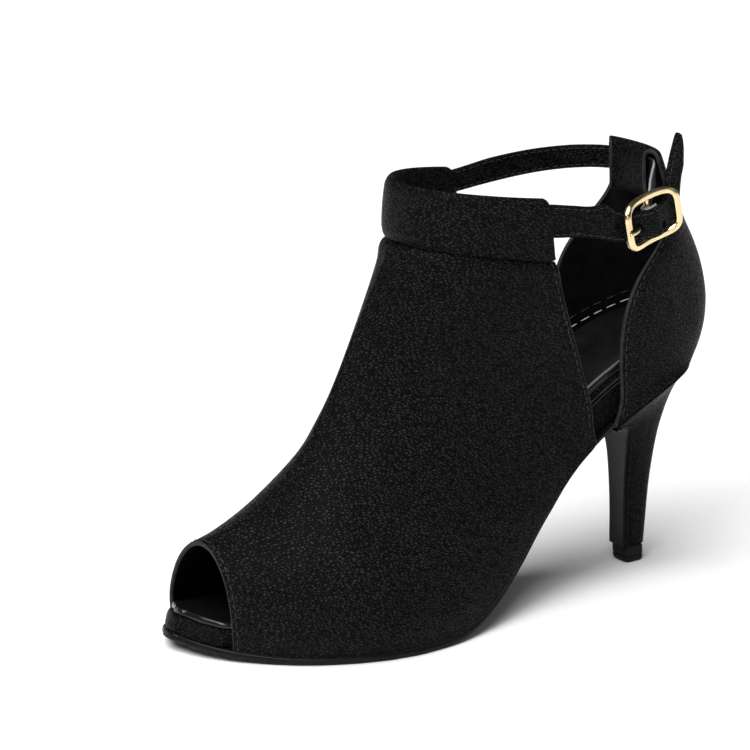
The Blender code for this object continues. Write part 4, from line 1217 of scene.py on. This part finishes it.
def build_counter():
    """Heel cup with the fold at its top that carries the strap."""
    outside, inside = counter_faces(np.linspace(0.0, 1.0, COUNTER_COLUMNS))
    away = (outside[0] - inside[0]) / UPPER_WALL
    for face in (outside, inside):
        face[0] += away * FOOT_OUT - np.array([0.0, 0.0, FOOT_DOWN])
    outside = soften(refine_rows(outside, COUNTER_ROW_STEPS), 3)
    inside = soften(refine_rows(inside, COUNTER_ROW_STEPS), 3)
    away = -normals(outside)
    outside = dents(outside, away, COUNTER_CREASES)
    skin("counter_skin", outside, inside, [LEATHER, LINING, EDGE], ["counter"])
    cup_rows = len(COUNTER_ROWS["square"])
    cup = slice(2, COUNTER_ROW_STEPS * cup_rows)
    lines = [edge_line(outside[cup, ::f], away[cup, ::f], COUNTER_STITCH_IN) for f in (1, -1)]
    lines.append([row_at(grid, cup_rows - TOP_STITCH_ROWS) for grid in (outside, away)])
    stitches("counter_stitches", lines, THREAD)
    keep = slice(int(COUNTER_COLUMNS * INNER_KEEP), int(COUNTER_COLUMNS * (1.0 - INNER_KEEP)))
    pale = [(row_at(inside, k, INNER_DIP)[keep], -row_at(away, k, INNER_DIP)[keep]) for k in INNER_ROWS]
    stitches("lining_stitches", pale[:1], PALE_THREAD, LINING_STITCH, LINING_GAP, 0.3)
    stitches("lining_seam", pale[1:], THREAD, LINING_STITCH, LINING_GAP, 0.22)


def build_layer(node, name, start, inset, lift, thick, edge, materials, slot, raised=(0.0, 0.0)):
    """A bottom part with a rounded edge, between two lifts above the sole's underside."""
    outer, inner = outline(start, inset)
    rings = []
    for a, b in zip(outer, inner):
        middle, half = (a + b) / 2, (a - b) / 2
        width = np.linalg.norm(half)
        side = [(max(1.0 - off / width, 0.0), share) for off, share in edge]
        spans = [0.66, 0.33, 0.0, -0.33, -0.66]
        ring = list(side)
        ring += [(side[-1][0] * s, 1.0) for s in spans]
        ring += [(-s, share) for s, share in reversed(side)]
        ring += [(-side[0][0] * s, 0.0) for s in spans]
        spots = []
        for across, share in ring:
            x, y = middle + half * across
            low = lift + raised[0] * pad(x)
            high = lift + thick + raised[1] * pad(x)
            spots.append(sole_point(x, y, low + (high - low) * share))
        rings.append(spots)
    return hose(name, rings, materials, [node])


def seat_line(inset, lift):
    """Line round the seat on a layer's side, from the end of the welt back and round."""
    outer, inner = outline(SEAT_START, inset)
    sides = outer[outer[:, 0] < WELT_AHEAD][::-1], inner[inner[:, 0] < WELT_AHEAD]
    loop = np.concatenate(sides)
    return sole_point(loop[:, 0], loop[:, 1], lift + pad(loop[:, 0]))


# Welt lines: how far below the footbed they run, their radius, and where they end
WELT_HIGH = 2.3
WELT_LOW = 3.9
WELT_RADIUS = 0.28
WELT_AHEAD = 100.0
WELT_LINES = (
    ("footbed_bead", insole_inset, 0.0),
    ("welt_high", band_inset, WELT_HIGH),
    ("welt_low", band_inset, WELT_LOW),
)
# Edges of the three bottom parts: how far in and what share up, from foot to top
SOLE_EDGE = ((1.0, 0.0), (0.3, 0.06), (0.0, 0.25), (0.0, 0.6), (0.12, 0.8), (0.6, 0.97), (1.2, 1.0))
BAND_EDGE = ((0.5, 0.0), (0.05, 0.08), (-0.1, 0.3), (-0.05, 0.55), (0.25, 0.75), (0.9, 0.92), (2.2, 1.0))
BED_EDGE = ((0.4, 0.0), (0.0, 0.2), (0.05, 0.5), (0.5, 0.85), (1.4, 1.0))


def build_bottom():
    """Outsole, wrapped band and glossy footbed with the welt lines at its edge."""
    layer = (BREAST_X, fixed(0.0), 0.0, OUTSOLE_THICK, SOLE_EDGE, [SOLE], "smooth_sole", (WAIST_RISE, 0.0))
    build_layer("outsole", "outsole_skin", *layer)
    lift = OUTSOLE_THICK + GAP
    layer = (SEAT_START, band_inset, lift, MIDSOLE_THICK, BAND_EDGE, [WRAP], "grain_leather", (0.0, 1.0))
    build_layer("midsole", "band_wrap", *layer)
    lift += MIDSOLE_THICK + GAP
    layer = (SEAT_START, insole_inset, lift, INSOLE_THICK, BED_EDGE, [FOOTBED], "gloss_lining", (1.0, 1.0))
    build_layer("insole", "footbed_skin", *layer)
    for name, inset, drop in WELT_LINES:
        hose(name, bar(seat_line(inset, lift - drop), WELT_RADIUS, 8), [EDGE])


# Top of the heel's wrap: how far in and how far up each ring stands
HEEL_TOP = ((1.6, OUTSOLE_THICK), (0.7, OUTSOLE_THICK / 2), (0.4, -GAP))
HEEL_BEAD = 0.62
BEAD_OUT = 0.15
COVER_HOLLOW = 0.25


def build_heel():
    """Wrapped slim heel with a bead down both front corners, and its cover."""
    seat = seat_edge(GAP)
    rings = []
    for inset, lift in HEEL_TOP:
        edge = seat_edge(inset)
        rings.append(sole_point(edge[:, 0], edge[:, 1], lift))
    share = (seat[:, 0] - seat[:, 0].min()) / np.ptp(seat[:, 0])
    wide = seat[:, 1] / np.abs(seat[:, 1]).max()
    for back_x, back_rise, front_x, front_rise, half in zip(*HEEL_RINGS.values()):
        x = back_x + (front_x - back_x) * share
        z = HEEL_FOOT + back_rise + (front_rise - back_rise) * share
        rings.append(np.stack([x, wide * half, z], -1))
    rings = np.array(rings)
    fine = np.concatenate([rings[:3], refine_rows(rings[2:], HEEL_ROW_STEPS)[1:]])
    hose("heel_skin", fine, [WRAP], ["heel"])
    edge = (fine[2:, 0] + fine[2:, -1]) / 2
    half = np.abs(fine[2:, 0, 1] - fine[2:, -1, 1]) / 2
    ahead = np.gradient(edge, axis=0)
    face = unit(np.stack([-ahead[:, 2], np.zeros(len(edge)), ahead[:, 0]], -1))
    face *= np.sign(face[:, :1])
    for side, mark in ((0, "outer"), (-1, "inner")):
        path = fine[3:, side] + face[1:] * BEAD_OUT
        hose("heel_bead_" + mark, bar(path, HEEL_BEAD, 8), [WRAP])
    across = np.linspace(-1.0, 1.0, 15)
    grids = []
    for off in (GAP, GAP + COVER_THICK):
        hollow = COVER_HOLLOW * (across**2 - 0.6)
        rows = [
            [spot + way * (off + dip) + np.array([0.0, (width - COVER_IN) * a, 0.0])
             for a, dip in zip(across, hollow)]
            for spot, width, way in zip(edge, half, face)
        ]
        grids.append(np.array(rows))
    skin("cover_skin", grids[1], grids[0], [COVER, COVER, COVER], ["breast_cover"])


# Side of the tread block: height, and how far in it stands
TIP_SIDE = (
    (0.0, 0.9),
    (0.35, 0.4),
    (1.2, 0.1),
    (2.2, 0.0),
    (2.45, 0.35),
    (2.75, 0.35),
    (3.0, 0.0),
    (TIP_HEIGHT - 0.4, 0.0),
    (TIP_HEIGHT, 0.3),
)
TIP_POWER = 0.32


def build_tip():
    """Tread block: rounded corners, a lip at its top and a groove above the tread."""
    turns = np.linspace(0.0, 2 * np.pi, 72, endpoint=False)
    rings = []
    for z, off in TIP_SIDE:
        x = squared(np.cos(turns), TIP_POWER) * (TIP_LENGTH / 2 - off)
        y = squared(np.sin(turns), TIP_POWER) * (TIP_WIDTH / 2 - off)
        rings.append(np.stack([x, y, np.full(len(turns), z)], -1))
    hose("tip_block", rings, [RUBBER], ["top_piece"])


def band(name, upper, lower, thick, materials, slot, nodes, groove=0.0, marks=None, across=15):
    """A strap between two edge lines: crowned faces, rounded edges and a groove inside each."""
    ahead = np.gradient((upper + lower) / 2, axis=0)
    face = unit(np.cross(ahead, upper - lower))
    half = (upper - lower) / 2
    width = np.linalg.norm(half, axis=1)[:, None]
    middle = (upper + lower) / 2
    spots, heights = [], []
    for s in np.linspace(1.0, -1.0, across):
        s = squared(s, 0.8)
        spots.append(s)
        rim = np.clip((1.0 - abs(s)) / 0.12, 0.0, 1.0)
        dip = groove * bell(abs(s) - 0.72, 0.07)
        heights.append(0.35 + 0.65 * np.sqrt(1 - (1 - rim) ** 2) - dip)
    ring = []
    for s, h in zip(spots, heights):
        ring.append(middle + half * s + face * thick / 2 * h)
    for s, h in zip(reversed(spots), reversed(heights)):
        ring.append(middle + half * s - face * thick / 2 * h)
    rings = np.stack(ring, 1)
    run = length_along(middle)
    flat = np.concatenate([spots, spots[::-1]])
    uv = np.stack(np.broadcast_arrays(run[:, None], width * flat[None, :]), -1).reshape(-1, 2)
    return hose(name, rings, materials, nodes, marks, uv=uv), middle + face * thick / 2, face


def apply_all(piece):
    """The piece's modifiers, applied to its mesh."""
    bpy.context.view_layer.update()
    graph = bpy.context.evaluated_depsgraph_get()
    shape = bpy.data.meshes.new_from_object(piece.evaluated_get(graph))
    piece.modifiers.clear()
    piece.data = shape


PUNCH_SIDES = 28
PUNCH_REACH = 9.0


def punch(piece, spots):
    """Cut round holes through a strap, square to the buckle."""
    for along_it, up_it in spots:
        path = [buckle_spot(along_it, up_it, k) for k in (-PUNCH_REACH, 0.0, PUNCH_REACH)]
        rings = bar(path, HOLE_RADIUS, PUNCH_SIDES, up=buckle_axes()[0])
        mesh = bpy.data.meshes.new("punch")
        points = (rings.reshape(-1, 3) * MM).tolist()
        caps = [tuple(range(PUNCH_SIDES)), tuple(range(len(points) - 1, len(points) - PUNCH_SIDES - 1, -1))]
        faces = grid_faces(len(path), PUNCH_SIDES, wrap=True) + caps
        mesh.from_pydata(points, [], faces)
        face_out(mesh)
        tool = add("punch", mesh)
        mark = piece.modifiers.new("hole", "BOOLEAN")
        mark.operation = "DIFFERENCE"
        mark.solver = "EXACT"
        mark.object = tool
        apply_all(piece)
        bpy.data.objects.remove(tool)
        piece.data.set_sharp_from_angle(angle=SHARP_ANGLE)


def strap_lines(upper, lower, outer_face, face):
    """Two stitch lines along each face of a strap, a little in from its edges."""
    half = (upper - lower) / 2
    width = np.linalg.norm(half, axis=1)[:, None]
    lines = []
    for sign in (1.0, -1.0):
        for side in (1, -1):
            middle = (upper + lower) / 2
            spots = middle + half * sign * (1.0 - STRAP_STITCH_IN / width) + side * (outer_face - middle)
            lines.append((spots, face * side))
    return lines


# How far the straps run on into the cuff, and the groove beside their stitches
FRONT_TUCK = 2.0
BACK_TUCK = 3.0
STRAP_GROOVE = 0.25
ELASTIC_ROWS = 120
# Which columns round the elastic are its pale edges
ELASTIC_COLUMNS = 30
ELASTIC_EDGES = (0, 13, 14, 15, 28, 29)


def drawn_on(upper, lower, length):
    """Edge lines with one more row ahead of their first, hidden in the cuff."""
    ahead = (upper[0] + lower[0] - upper[1] - lower[1]) / 2
    ahead *= length / np.linalg.norm(ahead)
    return np.concatenate([[upper[0] + ahead], upper]), np.concatenate([[lower[0] + ahead], lower])


def stitched_strap(name, node, upper, lower, keep):
    """A leather strap, and the stitch lines along the rows that are kept."""
    made = (STRAP_THICK, [LEATHER], "grain_leather", [node], STRAP_GROOVE)
    strap, outer_face, face = band(name, upper, lower, *made)
    return strap, strap_lines(upper[keep], lower[keep], outer_face[keep], face[keep])


def build_straps():
    """Front strap with its holes, back strap, and the elastic that holds the buckle."""
    parts = [edges(STRAP_START), in_buckle(STRAP_WEAVE, STRAP_WEAVE["half"]), past_buckle(STRAP_END)]
    upper, lower = drawn_on(*(np.concatenate(side) for side in zip(*parts)), FRONT_TUCK)
    upper, lower = refine(upper, lower, STRAP_ROWS)
    strap, lines = stitched_strap("front_strap", "strap_front", upper, lower, slice(3, STRAP_ROWS - 10))
    punch(strap, PUNCHED)
    upper, lower = refine(*drawn_on(*upright(STRAP_BACK), BACK_TUCK), STRAP_ROWS)
    lines += stitched_strap("back_strap", "strap_back", upper, lower, slice(2, STRAP_ROWS - 2))[1]
    stitches("strap_stitches", lines, THREAD, 2.2, 0.8, 0.2)
    half = np.full(len(ELASTIC_FOLD["along"]), ELASTIC_HALF)
    parts = [upright(ELASTIC_RUN), in_buckle(ELASTIC_FOLD, half)]
    upper, lower = refine(*(np.concatenate(side) for side in zip(*parts)), ELASTIC_ROWS)
    marks = [int(j in ELASTIC_EDGES) for j in range(ELASTIC_COLUMNS)]
    made = (ELASTIC_THICK, [ELASTIC, SELVEDGE], "elastic_web", ["elastic_loop"], 0.0, marks)
    band("elastic_band", upper, lower, *made)


# Section of the buckle's frame in halves of its bar, and the steps round it
FRAME_SECTION = (
    (-1.30, -0.75),
    (-0.92, -1.0),
    (0.82, -1.0),
    (1.2, -0.75),
    (1.28, 0.1),
    (0.70, 0.95),
    (-0.80, 0.95),
    (-1.38, 0.1),
)
FRAME_STEPS = 144
FRAME_BEVEL = 0.16
PRONG_STEPS = 60
PRONG_WIDE = 1.25
PRONG_FLAT = 0.8
PRONG_END = 0.85


def build_buckle():
    """Bevelled gold frame with its pin, and the prong lying on the front bar."""
    _, up, out = buckle_axes()
    turns = np.linspace(0.0, 2 * np.pi, FRAME_STEPS, endpoint=False)
    half_long = (BUCKLE_LONG - BUCKLE_BAR) / 2
    half_high = (BUCKLE_HIGH - BUCKLE_BAR) / 2
    path = []
    for a in turns:
        u, v = (squared(way, 2 / BUCKLE_SQUARE) for way in (np.cos(a), np.sin(a)))
        path.append(buckle_spot(u * half_long, v * half_high, BUCKLE_DIP * (u * u - BUCKLE_LOW)))
    loop = np.array(path + path[:1])
    path = at_run(loop, np.linspace(0.0, length_along(loop)[-1], FRAME_STEPS, endpoint=False))
    ahead = unit(np.roll(path, -1, axis=0) - np.roll(path, 1, axis=0))
    rings = []
    for spot, way in zip(path, ahead):
        rise = out - way * (out @ way)
        rise /= np.linalg.norm(rise)
        aside = np.cross(way, rise)
        rings.append([spot + BUCKLE_BAR / 2 * (aside * a + rise * b) for a, b in FRAME_SECTION])
    ring = hose("buckle_frame_gold", rings, [GOLD], ["buckle_frame"], closed=True, sharp=3.0)
    round_edges(ring, FRAME_BEVEL)
    low = -BUCKLE_LOW * BUCKLE_DIP
    ends = np.linspace(-half_high, half_high, 24)
    pin = bar([buckle_spot(0.0, k, low) for k in ends], PIN_RADIUS, 16, up=out)
    hose("buckle_pin", pin, [GOLD])
    rows = np.stack([PRONG_PATH["along"], PRONG_PATH["out"]], -1)
    fine = soften(at_run(rows, np.linspace(0.0, length_along(rows)[-1], PRONG_STEPS)), 20)
    radii = PRONG_RADIUS * np.linspace(PRONG_ROOT, PRONG_END, PRONG_STEPS)
    radii[-6:] *= np.sqrt(1.0 - np.linspace(0.0, 0.97, 6) ** 2)
    path = [buckle_spot(a, PRONG_UP, b) for a, b in fine]
    rings = bar(path, radii * PRONG_WIDE, 16, flat=PRONG_FLAT, up=out)
    hose("prong_gold", rings, [GOLD], ["buckle_prong"])


def round_edges(piece, width):
    """A small bevel along the piece's hard edges, applied."""
    mark = piece.modifiers.new("soft", "BEVEL")
    mark.width = width * MM
    mark.segments = 2
    mark.limit_method = "ANGLE"
    mark.angle_limit = 0.35
    apply_all(piece)


def light(name, spot, aim, size, power):
    """A soft square light."""
    lamp = bpy.data.lights.new(name, "AREA")
    lamp.shape = "SQUARE"
    lamp.size = size
    lamp.energy = power
    holder = add(name, lamp)
    holder.location = spot
    holder.rotation_euler = (Vector(aim) - Vector(spot)).to_track_quat("-Z", "Y").to_euler()


# Camera in metres, fitted to the photo: place, way back from the shoe, roll and lens
CAMERA_SPOT = Vector((0.7436, 1.0475, 0.4647))
CAMERA_VIEW = Vector((0.49327, 0.82095, 0.28763))
CAMERA_ROLL = -0.03686
CAMERA_LENS = 163.8
CAMERA_SENSOR = 36.0
FLOOR_HALF = 6.0
WORLD_LIGHT = 0.06
# Soft lights: place, aim, size and power
LIGHTS = (
    ("key", (1.2, 0.5, 1.5), (0.07, 0.0, 0.06), 0.9, 14.0),
    ("side", (-1.1, 1.2, 1.0), (0.07, 0.0, 0.08), 0.9, 2.0),
    ("front", (1.4, 1.6, 0.7), (0.08, 0.0, 0.08), 0.8, 2.5),
)
OVERHEAD_POWER = 3.6
OVERHEAD_ANGLE = 1.1
OVERHEAD_WAY = Vector((0.35, 0.1, 1.0))


def build_floor():
    """Plain pale floor."""
    mesh = bpy.data.meshes.new("floor")
    corners = [(x * FLOOR_HALF, y * FLOOR_HALF, 0.0) for x, y in ((-1, -1), (1, -1), (1, 1), (-1, 1))]
    mesh.from_pydata(corners, [], [(0, 1, 2, 3)])
    pale, _, shader = blank("floor_white")
    set_inputs(shader, Base_Color=(0.92, 0.92, 0.92, 1.0), Roughness=0.8, Specular_IOR_Level=0.15)
    mesh.materials.append(pale)
    add("floor", mesh)


def build_lights():
    """Even white surroundings, soft lights and a broad sun overhead."""
    world = bpy.data.worlds.new("studio")
    world.use_nodes = True
    set_inputs(world.node_tree.nodes["Background"], Color=(1.0, 1.0, 1.0, 1.0), Strength=WORLD_LIGHT)
    bpy.context.scene.world = world
    for row in LIGHTS:
        light(*row)
    lamp = bpy.data.lights.new("overhead", "SUN")
    lamp.energy = OVERHEAD_POWER
    lamp.angle = OVERHEAD_ANGLE
    holder = add("overhead", lamp)
    holder.rotation_euler = OVERHEAD_WAY.to_track_quat("Z", "Y").to_euler()


def build_camera():
    """Camera at the photo's angle."""
    right = Vector((0.0, 0.0, 1.0)).cross(CAMERA_VIEW).normalized()
    up = CAMERA_VIEW.cross(right)
    across = right * np.cos(CAMERA_ROLL) + up * np.sin(CAMERA_ROLL)
    rise = up * np.cos(CAMERA_ROLL) - right * np.sin(CAMERA_ROLL)
    turn = Matrix((across, rise, CAMERA_VIEW)).transposed()
    view = bpy.data.cameras.new("camera")
    view.lens = CAMERA_LENS
    view.sensor_width = CAMERA_SENSOR
    camera = add("camera", view)
    camera.matrix_world = Matrix.Translation(CAMERA_SPOT) @ turn.to_4x4()
    bpy.context.scene.camera = camera
    bpy.context.scene.view_settings.view_transform = "Standard"


build_floor()
build_lights()
build_camera()
build_vamp()
build_cuff()
build_counter()
build_bottom()
build_heel()
build_tip()
build_straps()
build_buckle()
